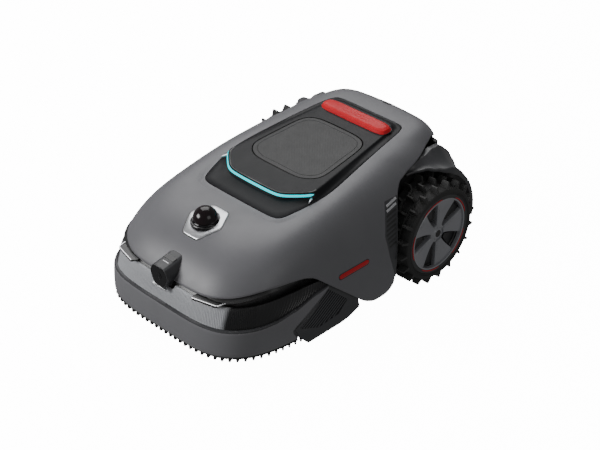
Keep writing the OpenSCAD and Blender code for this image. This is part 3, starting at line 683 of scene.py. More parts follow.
def softened(ring, share=0.16, rounds=2):
    """Rounds an outline's corners by cutting them off again and again."""
    for _ in range(rounds):
        cut = []
        for p, q in zip(ring, ring[1:] + ring[:1]):
            cut += [tuple(a + (b - a) * k for a, b in zip(p, q)) for k in (share, 1 - share)]
        ring = cut
    return ring


def camera_unit():
    low, high = box_mm("camera_housing")
    front, half = low[1], high[0]

    def section(y, bottom, top, shrink=0.0):
        mid = bottom + (top - bottom) * 0.58
        shape = [(-0.54, bottom), (0.54, bottom), (1, mid), (0.64, top), (-0.64, top), (-1, mid)]
        c, k = (bottom + top) / 2, 1 - shrink / 25
        return [(x * k, y, c + (z - c) * k) for x, z in softened([(x * half, z) for x, z in shape])]
    bezel = [(front + 5, 0.2), (front + 1.2, 0.3), (front + 0.3, 0.9), (front + 0.2, 2.2),
             (front + 1.4, 2.7)]
    rows = [section(-256, 130, 177), section(-268, 127.6, 174.6), section(-280, 126, 172)]
    rows += [section(y, 126.4, 168.6, shrink) for y, shrink in bezel]
    piece("camera_body", grid(rows, ring=True, caps=True), "camera", "chassis", "dark_grey",
          ["camera_housing"], sharp=18, bevel=0.6)
    glass = [section(front + 2.4, 126.4, 168.6, 2.8), section(front + 1.0, 126.4, 168.6, 2.8),
             section(front + 0.7, 126.4, 168.6, 3.4)]
    piece("camera_glass", grid(glass, ring=True, caps=True), "glass", "chassis", "glass", sharp=18)
    lens = [(0.01, 1.6), (2.6, 1.2), (3.8, 0.4), (4.3, 1.0), (5.6, 1.1), (6.2, 0.8), (6.2, -1)]
    facing = Matrix.Translation((0, front + 1.0, LENS_Z)) @ Matrix.Rotation(math.radians(90), 4, "X")
    piece("camera_lens", moved(revolve(lens, 48), facing), "gloss", "chassis", "glass", ["camera_window"],
          sharp=30)
    roof = Matrix.Translation((0, -275, 173.1)) @ Matrix.Rotation(math.atan2(2.6, 12), 4, "X")
    pane = prism(outline([(0, 12), (180, 12), (90, 5), (-90, 5)], 14, 48), -0.6, 0.4)
    dashes = [box_part((x, -12, -0.5), (x + 2.6, -11, 0.35)) for x in (-6, -2.4, 1.2, 4.8)]
    piece("camera_roof_pane", moved(pane, roof), "glass", "chassis", "glass", bevel=0.2)
    piece("camera_roof_marks", moved(merge(*dashes), roof), "silver", "chassis", "silver")
    sill = prism([(-17.5, front - 0.9), (17.5, front - 0.9), (18.6, front + 4), (-18.6, front + 4)], 125.0,
                 128.0)
    piece("camera_sill", sill, "silver", "chassis", "silver", bevel=0.5)


def front_lamps():
    top = box_mm("front_lamps")[1][2]
    plan = [(74, -290), (80, -299.6), (123, -288.8), (128.6, -285.8), (133, -266), (127, -264), (120, -275),
            (92, -286)]
    blade = both_sides(prism(plan, top - 4, top - 1.2))
    edge = [(79, -299.4), (123.4, -288.4), (128.8, -285.2), (132.9, -266), (131.2, -266), (127.4, -284.2),
            (122.6, -286.8), (79.6, -297.6)]
    bright = both_sides(prism(edge, top - 3, top - 0.2))
    web = [(74, -290), (92, -286), (120, -275), (127, -264), (112, -262), (100, -272), (76, -280)]
    piece("lamp_blades", blade, "gloss", "chassis", "black_gloss", ["front_lamps"], bevel=0.4)
    piece("lamp_edges", bright, "chrome", "chassis", "silver", bevel=0.3)
    piece("lamp_webs", both_sides(prism(web, top - 4.4, top - 2.2)), "trim", "chassis", "black_gloss",
          bevel=0.3)


def side_x(y, z, depth=0.0):
    """How far out the shell's side is at a place in side view."""
    t_low, t_high = -60.0, 60.0
    for _ in range(40):
        t = (t_low + t_high) / 2
        low, high = 0.0, 0.999
        for _ in range(26):
            share = (low + high) / 2
            if shell_point(t, share, depth)[2] > z:
                low = share
            else:
                high = share
        p = shell_point(t, low, depth)
        if p[1] < y:
            t_low = t
        else:
            t_high = t
    return p[0]


def side_strip(path, profile, depth=0.0):
    """A strip along a path of (y, z, width) in side view that follows the shell's side. The profile's
    points are (offset across the path, height above the surface), with offsets in half widths."""
    rows = []
    for i, (y, z, half) in enumerate(path):
        a, b = path[max(0, i - 1)], path[min(len(path) - 1, i + 1)]
        run = Vector((b[0] - a[0], b[1] - a[1])).normalized()
        row = []
        for across, lift in profile:
            v, w = y - run.y * across * half, z + run.x * across * half
            row.append((side_x(v, w, depth) + lift, v, w))
        rows.append(row)
    return grid(rows, ring=True, caps=True)


RAISED = [(-1, -2), (-1, 0.2), (-0.75, 0.8), (0.75, 0.8), (1, 0.2), (1, -2)]


def side_markers():
    low, high = box_mm("side_markers")
    y0, y1, half = low[1], high[1], (high[2] - low[2]) / 2
    middle = (low[2] + high[2]) / 2
    ends = [(0, 0.35), (0.012, 0.62), (0.03, 0.85), (0.06, 1)]
    shares = ends + [(0.06 + 0.88 * k / 14, 1) for k in range(1, 14)] + [(1 - s, w) for s,
                                                                         w in reversed(ends)]
    path = [(y0 + (y1 - y0) * s, middle, half * w) for s, w in shares]
    lens = side_strip(path, RAISED)
    frame_path = [(y0 - 1.2 + (y1 - y0 + 2.4) * s, middle, (half + 1.3) * w) for s, w in shares]
    piece("marker_lenses", both_sides(lens), "red", "chassis", "red", ["side_markers"], sharp=40)
    flat = [(a, min(h, 0.3)) for a, h in RAISED]
    piece("marker_bezels", both_sides(side_strip(frame_path, flat)), "trim", "chassis", "black", sharp=40)


VENT_FRONT = [(56, 80), (107, 65), (151, 57), (180, 64), (208, 74)]
VENT_REAR = [(56, 80.6), (72, 81.2), (113, 84.6), (155, 90.6), (179, 96.6), (200, 104.6), (209, 109.5)]


def vents():
    rows = []
    for k in range(49):
        z = 58 + 150 * k / 48
        front, rear = table(z, VENT_FRONT), table(z, VENT_REAR) - 0.4
        line = [front + (rear - front) * share for share in (0, 0.06, 0.35, 0.65, 0.94, 1)]
        face = [side_x(y, z) + lift for y, lift in zip(line, (0.05, 0.5, 0.5, 0.5, 0.5, 0.05))]
        rows.append([(x, y, z) for x, y in zip(face, line)] + [(x - 2, y, z) for x,
                                                               y in zip(reversed(face), reversed(line))])
    piece("vent_frame", both_sides(grid(rows, ring=True, caps=True)), "grey", "chassis", "black",
          ["vent_grilles"], sharp=40)
    slats, bright = [], []
    for k in range(10):
        z = 126 + 8.2 * k
        start, end = table(z, VENT_FRONT) + 4, table(z + 5, VENT_REAR) - 4
        slat = side_strip([(start + (end - start) * j / 5, z + j, 2.1) for j in range(6)],
                          [(-1, -1), (-1, 0.6), (0, 1.0), (1, 0.6), (1, -1)])
        (bright if k > 7 else slats).append(slat)
    piece("vent_slats", both_sides(merge(*slats)), "trim", "chassis", "black", sharp=30)
    piece("vent_upper_slats", both_sides(merge(*bright)), "silver", "chassis", "silver", sharp=30)


def sensor():
    low, high = box_mm("rain_sensor")
    y = (low[1] + high[1]) / 2
    seat = Matrix.Translation((0, y, high[2] - 2.2)) @ Matrix.Rotation(math.radians(-16), 4, "X")
    edges = [(0, 7.4), (180, 7.4), (90, 4.9), (-90, 4.9)]
    rows = [[(*p, z) for p in outline(edges, 9, 48, grow)] for grow, z in
            ((0, -5), (0, 1.0), (-0.6, 1.6), (-1.5, 1.6), (-1.8, 0.7), (-3.6, 0.7))]
    piece("sensor_frame", moved(grid(rows, ring=True, caps=True), seat), "gloss", "chassis", "black_gloss",
          ["rain_sensor"])
    eye = revolve([(0.01, 2.1), (1.4, 1.9), (2.0, 1.2), (2.0, 0.4)], 32)
    piece("sensor_eyes", moved(merge(moved(eye, Matrix.Translation((-2.6, 0, 0))),
                                     moved(eye, Matrix.Translation((2.6, 0, 0)))), seat),
          "glass", "chassis", "glass")


# ---------------------------------------------------------------- wheels

WHEEL_LOW, WHEEL_HIGH = box_mm("left_tyre")
WHEEL_R = (WHEEL_HIGH[2] - WHEEL_LOW[2]) / 2
AXLE = (WHEEL_HIGH[1] + WHEEL_LOW[1]) / 2
TYRE_IN, TYRE_OUT = WHEEL_LOW[0], WHEEL_HIGH[0]
RIM_R = 79.5
ON_AXLE = Matrix(((0, 0, 1, 0), (1, 0, 0, AXLE), (0, 1, 0, WHEEL_R), (0, 0, 0, 1)))
LUGS = 20
SPOKES = 5


def polar(r, a, z):
    return (r * cos(a), r * sin(a), z)


def turned(part, count, offset=0.0):
    return merge(*[moved(part, Matrix.Rotation(math.radians(offset + 360 * k / count), 4,
                                               "Z")) for k in range(count)])


def lug(x0, x1):
    """One tread lug: a leaning paddle with a wide foot, along the tyre's width."""
    rows = []
    for r, ahead, behind, trim in ((87.5, 3.6, 4.2, 0), (90, 2.5, 3.2, 0.2), (94, 1.9, 2.6, 0.8),
                                   (WHEEL_R - 1.6, 1.6, 2.1, 2.6),
                                   (WHEEL_R - 0.5, 1.1, 1.6, 3.4)):
        scale = 180 / (math.pi * r)
        rows.append([polar(r, ahead * scale, x0 + trim), polar(r, ahead * scale, x1 - trim),
                     polar(r, -behind * scale, x1 - trim), polar(r, -behind * scale, x0 + trim)])
    return grid(rows, ring=True, caps=True)


def tyre_part():
    w0, w1 = TYRE_IN, TYRE_OUT
    body = revolve([(RIM_R + 0.2, w0 + 3), (84, w0 + 0.6), (88, w0 + 1.2), (90.5, w0 + 4), (91, w0 + 18),
                    (89.6, w0 + 20), (89.6, w0 + 22),
                    (91, w0 + 24), (91, w0 + 42), (89.6, w0 + 44), (89.6, w0 + 46), (91, w0 + 48),
                    (90.6, w1 - 3.2), (89.2, w1 - 1.2),
                    (87.6, w1 - 0.5), (83.4, w1 - 0.5), (82.6, w1 - 1.6), (RIM_R + 0.2, w1 - 2.2),
                    (RIM_R + 0.2, w0 + 3)], 120)
    rows = [turned(lug(w0 + 0.5 + 23 * k, w0 + 20 + 23 * k), LUGS, 9 * (k % 2) + 3 * k) for k in range(3)]
    bridges = turned(lug_bridge(w0 + 19, w0 + 25), LUGS, 6)
    return merge(body, *rows, bridges)


def lug_bridge(x0, x1):
    rows = [[polar(r, 6 * s, x) for x, s in ((x0, -1), (x0, 0), (x1, 1), (x1, 0))] for r in (88, 95)]
    return grid(rows, ring=True, caps=True)


def rim_part():
    w1 = TYRE_OUT
    barrel = revolve([(RIM_R, TYRE_IN + 3), (RIM_R, w1 - 2.4), (RIM_R - 1, w1 - 1.4), (RIM_R - 8, w1 - 1.6),
                      (RIM_R - 9.4, w1 - 4),
                      (RIM_R - 9.4, w1 - 14), (RIM_R - 4, w1 - 22), (RIM_R - 4, TYRE_IN + 3),
                      (RIM_R, TYRE_IN + 3)], 120)
    back = revolve([(RIM_R - 4, w1 - 30), (26, w1 - 27), (18, w1 - 20), (8, w1 - 20), (8, w1 - 34),
                    (18, w1 - 34), (26, w1 - 33),
                    (RIM_R - 4, w1 - 34), (RIM_R - 4, w1 - 30)], 96)
    rib = prism([(14, -1.6), (RIM_R - 5, -1.6), (RIM_R - 5, 1.6), (14, 1.6)], w1 - 31, w1 - 17)
    return merge(barrel, back, turned(rib, 10, 18))


def spoke_part():
    """A broad petal, narrow at the hub and wide at the rim, dished between two raised edges."""
    w1 = TYRE_OUT
    rows = []
    steps = 12
    for k in range(steps + 1):
        s = k / steps
        r = 13 + (RIM_R - 22) * s
        half = 6.5 + 20 * s ** 1.3
        crown = w1 - 4.4 - 9.0 * (1 - s) ** 1.2 * s ** 0.35 + 1.4 * (1 - s)
        dish = 5.4 * math.sin(math.pi * min(1, s * 1.1)) * (0.5 + 0.5 * s)
        row = []
        for v, drop, lift in ((-1.05, 13, 0), (-1.05, 3.2, 0), (-1, 0.7, 0), (-0.93, 0, 0),
                              (-0.84, 0.35, 0), (-0.5, 0, 0.72), (0, 0, 1),
                              (0.5, 0, 0.72), (0.84, 0.35, 0), (0.93, 0, 0), (1, 0.7, 0), (1.05, 3.2, 0),
                              (1.05, 13, 0)):
            a = v * math.degrees(half / r) if r > half else v * 45
            row.append(polar(r, a, crown - drop - dish * lift))
        rows.append(row)
    return grid(rows, ring=True, caps=True)


def window_pocket():
    """A dark shield set back in the opening between two petals."""
    w1 = TYRE_OUT
    rim = [polar(r, a, w1 - 12) for r, a in ((32, -7), (50, -12.5), (66, -15.5), (69, -13), (69.5, 0),
                                             (69, 13), (66, 15.5), (50, 12.5), (32, 7))]
    inner = [(x * 0.93 + 3.4, y * 0.8, z - 1.5) for x, y, z in rim]
    back = [(x, y, z - 6) for x, y, z in rim]
    return grid([back, rim, inner], ring=True, caps=True)


def wheel(sign):
    name = "left" if sign > 0 else "right"
    place = ON_AXLE if sign > 0 else Matrix.Scale(-1, 4, (1, 0, 0)) @ ON_AXLE
    body = name + "_wheel"
    w1 = TYRE_OUT
    piece(name + "_tyre_tread", moved(tyre_part(), place), "tyre", body, "tyre", [name + "_tyre"], sharp=34)
    piece(name + "_rim_barrel", moved(rim_part(), place), "rim", body, "dark_grey", [name + "_rim"],
          sharp=30)
    face = [(RIM_R - 7.6, w1 - 3.4), (RIM_R - 7.6, w1 - 1.9), (RIM_R - 8.2, w1 - 1.2),
            (RIM_R - 10.5, w1 - 1.5), (RIM_R - 11.2, w1 - 4),
            (RIM_R - 11.2, w1 - 9), (RIM_R - 7.6, w1 - 9), (RIM_R - 7.6, w1 - 3.4)]
    middle = [(0.01, w1 - 4.2), (9, w1 - 4.4), (14, w1 - 5.2), (17.2, w1 - 6.8), (18.4, w1 - 9.5),
              (18.4, w1 - 22), (0.01, w1 - 22)]
    cap = merge(turned(spoke_part(), SPOKES), revolve(middle, 72), revolve(face, 120))
    piece(name + "_spoke_cap", moved(cap, place), "hub", body, "hub", [name + "_hub_cap"], sharp=30)
    boss = revolve([(0.01, w1 - 3.7), (6.5, w1 - 3.7), (7.2, w1 - 4.3), (7.2, w1 - 6)], 48)
    piece(name + "_hub_boss", moved(boss, place), "gloss", body, "black_gloss", sharp=30)
    piece(name + "_window_pockets", moved(turned(window_pocket(), SPOKES, 36), place), "trim", body,
          "black_gloss", sharp=30)
    arcs = []
    for k in range(SPOKES):
        rows = []
        for j in range(29):
            a = 36 + 72 * k - 21 + 1.5 * j
            end = 0.25 + 0.75 * min(1, min(j, 28 - j) / 3)
            rows.append([polar(r, a, z) for r, z in ((RIM_R - 6.9, w1 - 2.4), (RIM_R - 6.9 + 0.2, w1 - 0.9),
                                                      (RIM_R - 6.9 + 1.9 * end, w1 - 0.9),
                                                      (RIM_R - 6.9 + 2.1 * end, w1 - 2.4))])
        arcs.append(grid(rows, ring=True, caps=True))
    piece(name + "_red_arcs", moved(merge(*arcs), place), "red", body, "red", [name + "_pinstripe"],
          sharp=30)


# ---------------------------------------------------------------- bumper

def bumper_point(t, inset, z):
    r = squircle_r(BUMPER_HW, BODY_HL, t, BUMPER_CORNERS) - inset
    return (r * cos(t), r * sin(t) - 1, z)


BUMPER_HW = box_mm("bumper_band")[1][0]
BUMPER_CORNERS = 4.3
BAND_LOW, BAND_TOP = box_mm("bumper_band")[0][2], box_mm("bumper_band")[1][2]
WINDOW_TOP = box_mm("bumper_window")[1][2]
COMB_LOW = box_mm("bumper_comb")[0][2]


def rear_cut(z):
    """Side view of the bumper's rear end, which leans back along the skirt."""
    return table(z, [(30, -151), (41, -162), (64, -176), (70, -174), (115, -94), (122, -84), (160, -72)])


def end_angle(z, inset):
    """Direction at which the bumper's surface meets its slanted end."""
    low, high = -60.0, -20.0
    for _ in range(40):
        t = (low + high) / 2
        if bumper_point(t, inset, z)[1] < rear_cut(z):
            low = t
        else:
            high = t
    return low


def bumper_rows(profile, count=200):
    """Sweeps a profile round the bumper. The profile is a function of the share of the way from the
    middle of the front to the rear end, and gives (inset, z) points."""
    rows = []
    for k in range(-count, count + 1):
        share = abs(k) / count
        row = []
        for inset, z in profile(share):
            t = -90 + FAN_ANGLE * share / FAN_START
            if share > FAN_START:
                t = -90 + FAN_ANGLE + (end_angle(z,
                                                 inset) + 90 - FAN_ANGLE) * (share - FAN_START) / (1 - FAN_START)
            x, y, _ = bumper_point(t, inset, z)
            row.append((x if k >= 0 else -x, y, z))
        rows.append(row)
    return rows


FAN_START = 0.72
FAN_ANGLE = 36.0


def ledge_z(share):
    """The ledge runs level round the nose and sweeps up to the wheel arch at each side."""
    return BAND_TOP + smooth_table(share, [(0, 0), (0.74, 0.4), (0.8, 2.2), (0.87, 9), (0.945, 21.5),
                                           (1, 24.5)])


def bumper():
    def band(share):
        top = ledge_z(share)
        heights = [BAND_LOW + 4 + (top - 5 - BAND_LOW - 4) * k / 11 for k in range(12)]
        face = [(1.7 * max(0, (k - 4) / 7) ** 1.5, z) for k, z in enumerate(heights)]
        back = [(6.5, z) for z in reversed(heights[1:-1])]
        return ([(16, BAND_LOW + 1), (2.2, BAND_LOW), (0.8, BAND_LOW + 0.8)] + face + [(2.3, top - 3.4),
                                                                                       (4.4, top - 3)] + back +
                [(16, BAND_LOW + 4)])
    piece("bumper_lower_band", grid(bumper_rows(band), ring=True, caps=True), "band", "bumper", "band",
          ["bumper_band"], sharp=40)

    def ledge(share):
        top = ledge_z(share)
        return [(3.6, top - 4.5), (2.6, top - 3.1), (3.2, top - 0.8), (4.6, top), (9.5, top + 0.4),
                (10.5, top - 1), (10.5, top - 4.5)]
    piece("bumper_ledge", grid(bumper_rows(ledge), ring=True, caps=True), "grey", "bumper", "black",
          sharp=30)

    ribs = 264

    def window(share):
        base = ledge_z(share)
        x = 306 * sin(50 * share)
        notch = WINDOW_TOP - 10 + (x - 21.5) * 1.54
        top = max(base + 1.5, min(WINDOW_TOP, max(WINDOW_TOP - 10, notch)) if x < 60 else WINDOW_TOP)
        rise = (top - base) / (WINDOW_TOP - BAND_TOP)
        proud = 0.0 if round(share * ribs) % 3 == 0 else 0.8
        out = [(8.4 + 12 * (h * rise) ** 1.3 - proud * min(1, 10 * h * (1 - h) + 0.1),
                base + (top - base) * h)
               for h in (0, 0.1, 0.3, 0.6, 0.9, 1)]
        return out + [(out[-1][0] + 1.2, top + 0.4), (out[-1][0] + 4, top), (out[0][0] + 5, base - 1)]
    piece("bumper_ribbed_band", grid(bumper_rows(window, ribs), ring=True, caps=True), "ribs", "bumper",
          "black",
          ["bumper_window"], sharp=18)

    def sole(share):
        return [(15, COMB_LOW + 6), (4.4, COMB_LOW + 5), (2.2, COMB_LOW + 6.4), (1.4, BAND_LOW - 1.4),
                (3, BAND_LOW + 0.4), (15, BAND_LOW + 1)]
    teeth = []
    for k in range(-22, 23):
        t = -90 + 2.35 * k
        r = squircle_r(BUMPER_HW, BODY_HL, t, BUMPER_CORNERS)
        turn = Matrix.Translation((r * cos(t), r * sin(t) - 1, 0)) @ Matrix.Rotation(math.radians(t), 4,
                                                                                     "Z")
        low = [(-10, -2.4), (-1.8, -2.0), (-0.8, -1.2), (-0.8, 1.2), (-1.8, 2.0), (-10, 2.4)]
        tooth = grid([[(x - 1.6, y * 0.8, COMB_LOW + 0.2) for x, y in low],
                      [(x, y, COMB_LOW + 2.4) for x, y in low],
                      [(x - 0.2, y * 1.15, COMB_LOW + 7) for x, y in low]], ring=True, caps=True)
        teeth.append(moved(tooth, turn))
    comb = merge(grid(bumper_rows(sole), ring=True, caps=True), *teeth)
    piece("bumper_comb_strip", comb, "black", "bumper", "black", ["bumper_comb"], sharp=30)


def nose_shade_wall():
    """A black wall behind the bumper, under the cover's front edge, with a ledge along its middle: painted shade
    that keeps the gap under the cover dark.
    """
    rows = []
    for t in shell_angles():
        a = t if t <= 180 else t - 360
        if a > -24 or a < -156:
            continue
        last = edge_share(a if a >= -90 else -180 - a, 1.0)
        top, inner = shell_point(a, last, WALL + 1.2), shell_point(a, last, WALL + 4)
        r = squircle_r(BUMPER_HW, BODY_HL, a, BUMPER_CORNERS)
        ring = [((r - q) * cos(a), (r - q) * sin(a), z) for q, z in
                ((22, top[2] - 6), (24, top[2] - 7.5), (30, WINDOW_TOP - 2), (30, WINDOW_TOP - 30),
                 (34, WINDOW_TOP - 30))]
        rows.append([top] + ring + [((r - 34) * cos(a), (r - 34) * sin(a), inner[2] - 4), inner])
    piece("nose_shade_wall", grid(rows, ring=True, caps=True), "trim", "chassis", "black", sharp=30)


# ---------------------------------------------------------------- skirts and wheel saddles

def skirt_face(y, z):
    """How far out the skirt's face is: it leans in towards its top and follows the bumper at its front."""
    share = min(1.0, max(0.0, -y) / BODY_HL)
    bumper = BUMPER_HW * (1 - share ** BUMPER_CORNERS) ** (1 / BUMPER_CORNERS) + 0.35 * max(0, 52 - z)
    return min(table(z, [(30, 205.2), (36, 207.6), (58, 200.4), (100, 196), (152, 187)]), bumper)


SKIRT_EDGE = [(-146, 30), (-62, 30), (-14, 41), (-14, 72), (-62, 121), (-78, 122), (-88, 115), (-168, 69),
              (-170, 64), (-156, 41)]
SKIRT_POCKET = [(-162, 65), (-86, 109), (-42, 68), (-66, 50), (-118, 47)]
RIB_LEAN = 29.0


def dense(points, step=6.0):
    """Adds points along the sides of an outline."""
    out = []
    for (y0, z0), (y1, z1) in zip(points, points[1:] + points[:1]):
        n = max(1, round(math.hypot(y1 - y0, z1 - z0) / step))
        out += [(y0 + (y1 - y0) * k / n, z0 + (z1 - z0) * k / n) for k in range(n)]
    return out


def span_inside(points, start, run):
    """The stretch of a straight line that lies inside an outline, as two distances along it."""
    hits = []
    for (y0, z0), (y1, z1) in zip(points, points[1:] + points[:1]):
        dy, dz = y1 - y0, z1 - z0
        det = run[0] * dz - run[1] * dy
        if abs(det) < 1e-9:
            continue
        along = ((y0 - start[0]) * dz - (z0 - start[1]) * dy) / det
        share = ((y0 - start[0]) * run[1] - (z0 - start[1]) * run[0]) / det
        if 0 <= share <= 1:
            hits.append(along)
    return (min(hits), max(hits)) if len(hits) > 1 else None


def skirts():
    edge, pocket = dense(SKIRT_EDGE), dense(SKIRT_POCKET)
    piece("skirt_panels", both_sides(bridge_frame(edge, pocket)), "grey", "chassis", "black",
          ["left_skirt", "right_skirt"],
          sharp=28)
    run, across = (cos(RIB_LEAN), sin(RIB_LEAN)), (sin(RIB_LEAN), -cos(RIB_LEAN))
    ribs = []
    for k in range(10):
        start = (SKIRT_POCKET[0][0] + across[0] * (5.6 * k + 3),
                 SKIRT_POCKET[0][1] + across[1] * (5.6 * k + 3))
        span = span_inside(SKIRT_POCKET, start, run)
        if not span:
            continue
        rib = []
        for j in range(11):
            along = span[0] - 1 + (span[1] - span[0] + 2) * j / 10
            y, z = start[0] + run[0] * along, start[1] + run[1] * along
            rib.append([(skirt_face(y + across[0] * w, z + across[1] * w) + h, y + across[0] * w,
                         z + across[1] * w)
                        for w, h in ((-1.5, -4.2), (-1.0, -0.6), (1.0, -0.6), (1.5, -4.2))])
        ribs.append(grid(rib, ring=True, caps=True))
    piece("skirt_ribs", both_sides(merge(*ribs)), "grey", "chassis", "black", sharp=30)
    floor = [(skirt_face(y, z) - 4, y, z) for y, z in pocket]
    back = [(skirt_face(y, z) - 6, y, z) for y, z in pocket]
    piece("skirt_mesh_backs", both_sides(grid([back, floor], ring=True, caps=True)), "trim", "chassis",
          "black", sharp=40)


def bridge_frame(edge, pocket):
    """A plate with a pocket in it, both outlines matched by direction from the pocket's middle."""
    cy = sum(p[0] for p in pocket) / len(pocket)
    cz = sum(p[1] for p in pocket) / len(pocket)

    def ray(points, a):
        best = None
        for (y0, z0), (y1, z1) in zip(points, points[1:] + points[:1]):
            dy, dz = y1 - y0, z1 - z0
            det = dy * sin(a) - dz * cos(a)
            if abs(det) < 1e-9:
                continue
            s = ((cy - y0) * sin(a) - (cz - z0) * cos(a)) / det
            if -1e-6 <= s <= 1 + 1e-6:
                py, pz = y0 + dy * s, z0 + dz * s
                d = (py - cy) * cos(a) + (pz - cz) * sin(a)
                if d > 0 and (best is None or d < best):
                    best = d
        return cy + best * cos(a), cz + best * sin(a)

    rows = []
    for k in range(144):
        a = 2.5 * k
        ey, ez = ray(edge, a)
        py, pz = ray(pocket, a)
        steps = [(ey + (py - ey) * share, ez + (pz - ez) * share) for share in (0.06, 0.3, 0.6, 0.9)]
        rows.append([(178, ey, ez), (skirt_face(ey, ez) - 1.2, ey, ez)] + [(skirt_face(y, z), y, z) for y,
                                                                           z in steps] +
                    [(skirt_face(py, pz) - 0.3, py, pz), (skirt_face(py, pz) - 5, py, pz), (178, py, pz)])
    return grid(rows, ring=True, loop=True)


# outline of the black walls inside the wheel saddles, which are painted shade between saddle and tyre
SADDLE_SHADE_LINER = [(150, 130), (AXLE + 108, 130), (AXLE + 108, 150), (AXLE + 96, 190), (AXLE + 70, 218),
                (AXLE + 40, 222), (150, 218)]


def saddles():
    """Wheel covers: a shoulder that swells out of the body and a rim that runs round the tyre."""
    outer = box_mm("wheel_fenders")[1][1] - AXLE - 0.5
    rows = []
    for k in range(57):
        a = 104 - 2 * k
        r1 = smooth_table(a, [(-8, 119), (10, outer), (31, 137), (41, 140), (54, 147), (64, 151), (72, 145),
                              (80, 133), (92, 127), (104, 124)])
        x1 = smooth_table(a, [(-8, 196.5), (60, 196.5), (70, 192), (78, 182), (86, 168), (104, 153)])
        r2 = smooth_table(a, [(-8, outer - 0.5), (40, outer - 0.5), (62, 125), (78, 119), (104, 117)])
        x0, x2 = 139.5, min(x1 - 12, 150)
        row = [(x0, 112), (x0, r1 - 1), (x0 + 1.5, r1)]
        for s in (0, 0.12, 0.25, 0.4, 0.55, 0.7, 0.85, 0.95):
            dip = (1 - s) ** 2.2
            row.append((x2 + (x1 - 2.4 - x2) * s, r2 + (r1 - r2) * dip))
        row += [(x1 - 1.0, r2 - 0.2), (x1, r2 - 1.4), (x1 - 0.2, r2 - 4.2), (x1 - 1.6, 112),
                (x1 - 2.6, 112), (x1 - 3, r2 - 5), (x2, r2 - 4), (x0 + 3, 112)]
        rows.append([(x, AXLE + r * cos(a), WHEEL_R + r * sin(a)) for x, r in row])
    # black walls as painted shade between saddle and tyre, so the floor does not show there
    shade_liner = grid([[(133, y, z) for y, z in SADDLE_SHADE_LINER], [(139.5, y, z) for y, z in SADDLE_SHADE_LINER]],
                 ring=True, caps=True)
    piece("saddle_shade_liners", both_sides(shade_liner), "black", "chassis", "black")
    piece("wheel_saddles", both_sides(grid(rows, ring=True, caps=True)), "fender", "chassis", "black",
          ["wheel_fenders"], sharp=42)


def smooth_table(t, pairs):
    """Like table, but with eased steps between the keys."""
    if t <= pairs[0][0]:
        return pairs[0][1]
    for (a, u), (b, v) in zip(pairs, pairs[1:]):
        if t <= b:
            s = (t - a) / (b - a)
            return u + (v - u) * s * s * (3 - 2 * s)
    return pairs[-1][1]


# ---------------------------------------------------------------- inner CAD nodes

CAD_MATERIALS = {
    "black": ["control_panel", "chassis_tub", "rear_panel", "left_fork", "right_fork"],
    "grey": ["power_key", "home_key", "start_key", "lock_key", "lift_frame", "shift_carriage", "blade_disc",
             "lidar_rotor"],
    "glass": ["display"],
    "board": ["main_board"],
    "battery": ["battery_pack"],
    "contact": ["charge_contacts"],
    "steel": ["gearmotors", "shell_screws", "lid_hinge_pin", "lift_rods", "blade_motor", "blade_screws",
              "blade_1", "blade_2",
              "blade_3"],
    "rim": ["left_caster_wheel", "right_caster_wheel"],
}


def dress_cad_nodes():
    for material, names in CAD_MATERIALS.items():
        for name in names:
            for slot in nodes[name].material_slots:
                slot.material = M[material]


# ---------------------------------------------------------------- stage, lights and camera

# floor half width in metres, its glow, and the strength of the even light from all round
FLOOR_HALF = 8.0
FLOOR_GLOW = 14.0
SKY_STRENGTH = 0.22
VIEW = {"az": 44.8, "el": 33.01, "distance": 2500.28, "target": (125.63, -87, 210.56), "lens": 87.16}


def camera():
    az, el = VIEW["az"], VIEW["el"]
    back = Vector((sin(az) * cos(el), -cos(az) * cos(el), sin(el)))
    data = bpy.data.cameras.new("camera")
    data.lens = VIEW["lens"]
    data.sensor_width = 36
    data.clip_end = 50
    eye = bpy.data.objects.new("camera", data)
    eye.location = (Vector(VIEW["target"]) + back * VIEW["distance"]) * MM
    eye.rotation_euler = back.to_track_quat("Z", "Y").to_euler()
    bpy.context.scene.collection.objects.link(eye)
    bpy.context.scene.camera = eye


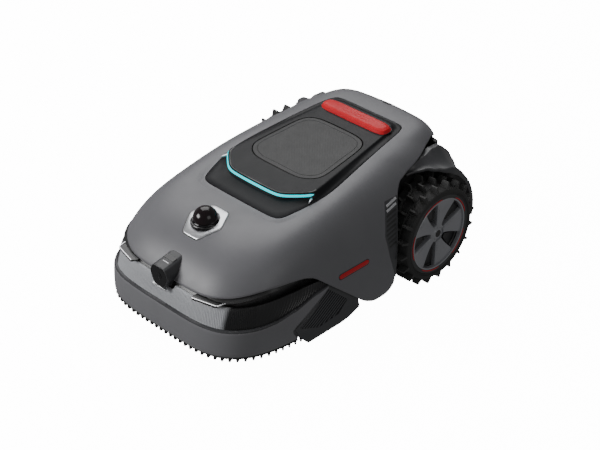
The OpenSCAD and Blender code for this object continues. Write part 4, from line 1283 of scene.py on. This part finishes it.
def area_light(name, place, target, size, power, colour=(1, 1, 1)):
    data = bpy.data.lights.new(name, "AREA")
    data.shape = "RECTANGLE"
    data.size, data.size_y = size
    data.energy = power
    data.color = colour
    lamp = bpy.data.objects.new(name, data)
    lamp.location = place
    lamp.rotation_euler = (Vector(place) - Vector(target)).to_track_quat("Z", "Y").to_euler()
    bpy.context.scene.collection.objects.link(lamp)


def studio():
    floor = bpy.data.materials.new("white_floor")
    floor.use_nodes = True
    shader = floor.node_tree.nodes["Principled BSDF"]
    shader.inputs["Base Color"].default_value = (0.9, 0.9, 0.9, 1)
    shader.inputs["Roughness"].default_value = 0.9
    shader.inputs["Specular IOR Level"].default_value = 0.1
    shader.inputs["Emission Color"].default_value = (1, 1, 1, 1)
    shader.inputs["Emission Strength"].default_value = FLOOR_GLOW
    mesh = bpy.data.meshes.new("floor")
    half = FLOOR_HALF
    mesh.from_pydata([(-half, -half, 0), (half, -half, 0), (half, half, 0), (-half, half, 0)], [],
                     [(0, 1, 2, 3)])
    mesh.materials.append(floor)
    plane = bpy.data.objects.new("floor", mesh)
    plane.location.z = -0.0005
    plane.visible_diffuse = False
    plane.visible_glossy = False
    bpy.context.scene.collection.objects.link(plane)
    world = bpy.data.worlds.new("studio")
    world.use_nodes = True
    world.node_tree.nodes["Background"].inputs["Color"].default_value = (1, 1, 1, 1)
    world.node_tree.nodes["Background"].inputs["Strength"].default_value = SKY_STRENGTH
    bpy.context.scene.world = world
    area_light("front_key", (-1.5, -2.6, 1.5), (0, -0.1, 0.1), (1.6, 1.2), 85)
    area_light("top_soft", (-1.3, 0.9, 2.3), (0, 0, 0.2), (2.2, 2.2), 50)
    area_light("side_soft", (2.4, -0.4, 1.6), (0.1, 0.1, 0.1), (1.4, 1.2), 7)


top_shell()
deck()
lid()
stop_button()
contours()
light_strip()
chevrons()
scanner()
camera_unit()
front_lamps()
side_markers()
vents()
sensor()
wheel(1)
wheel(-1)
bumper()
nose_shade_wall()
skirts()
saddles()
dress_cad_nodes()
camera()
studio()
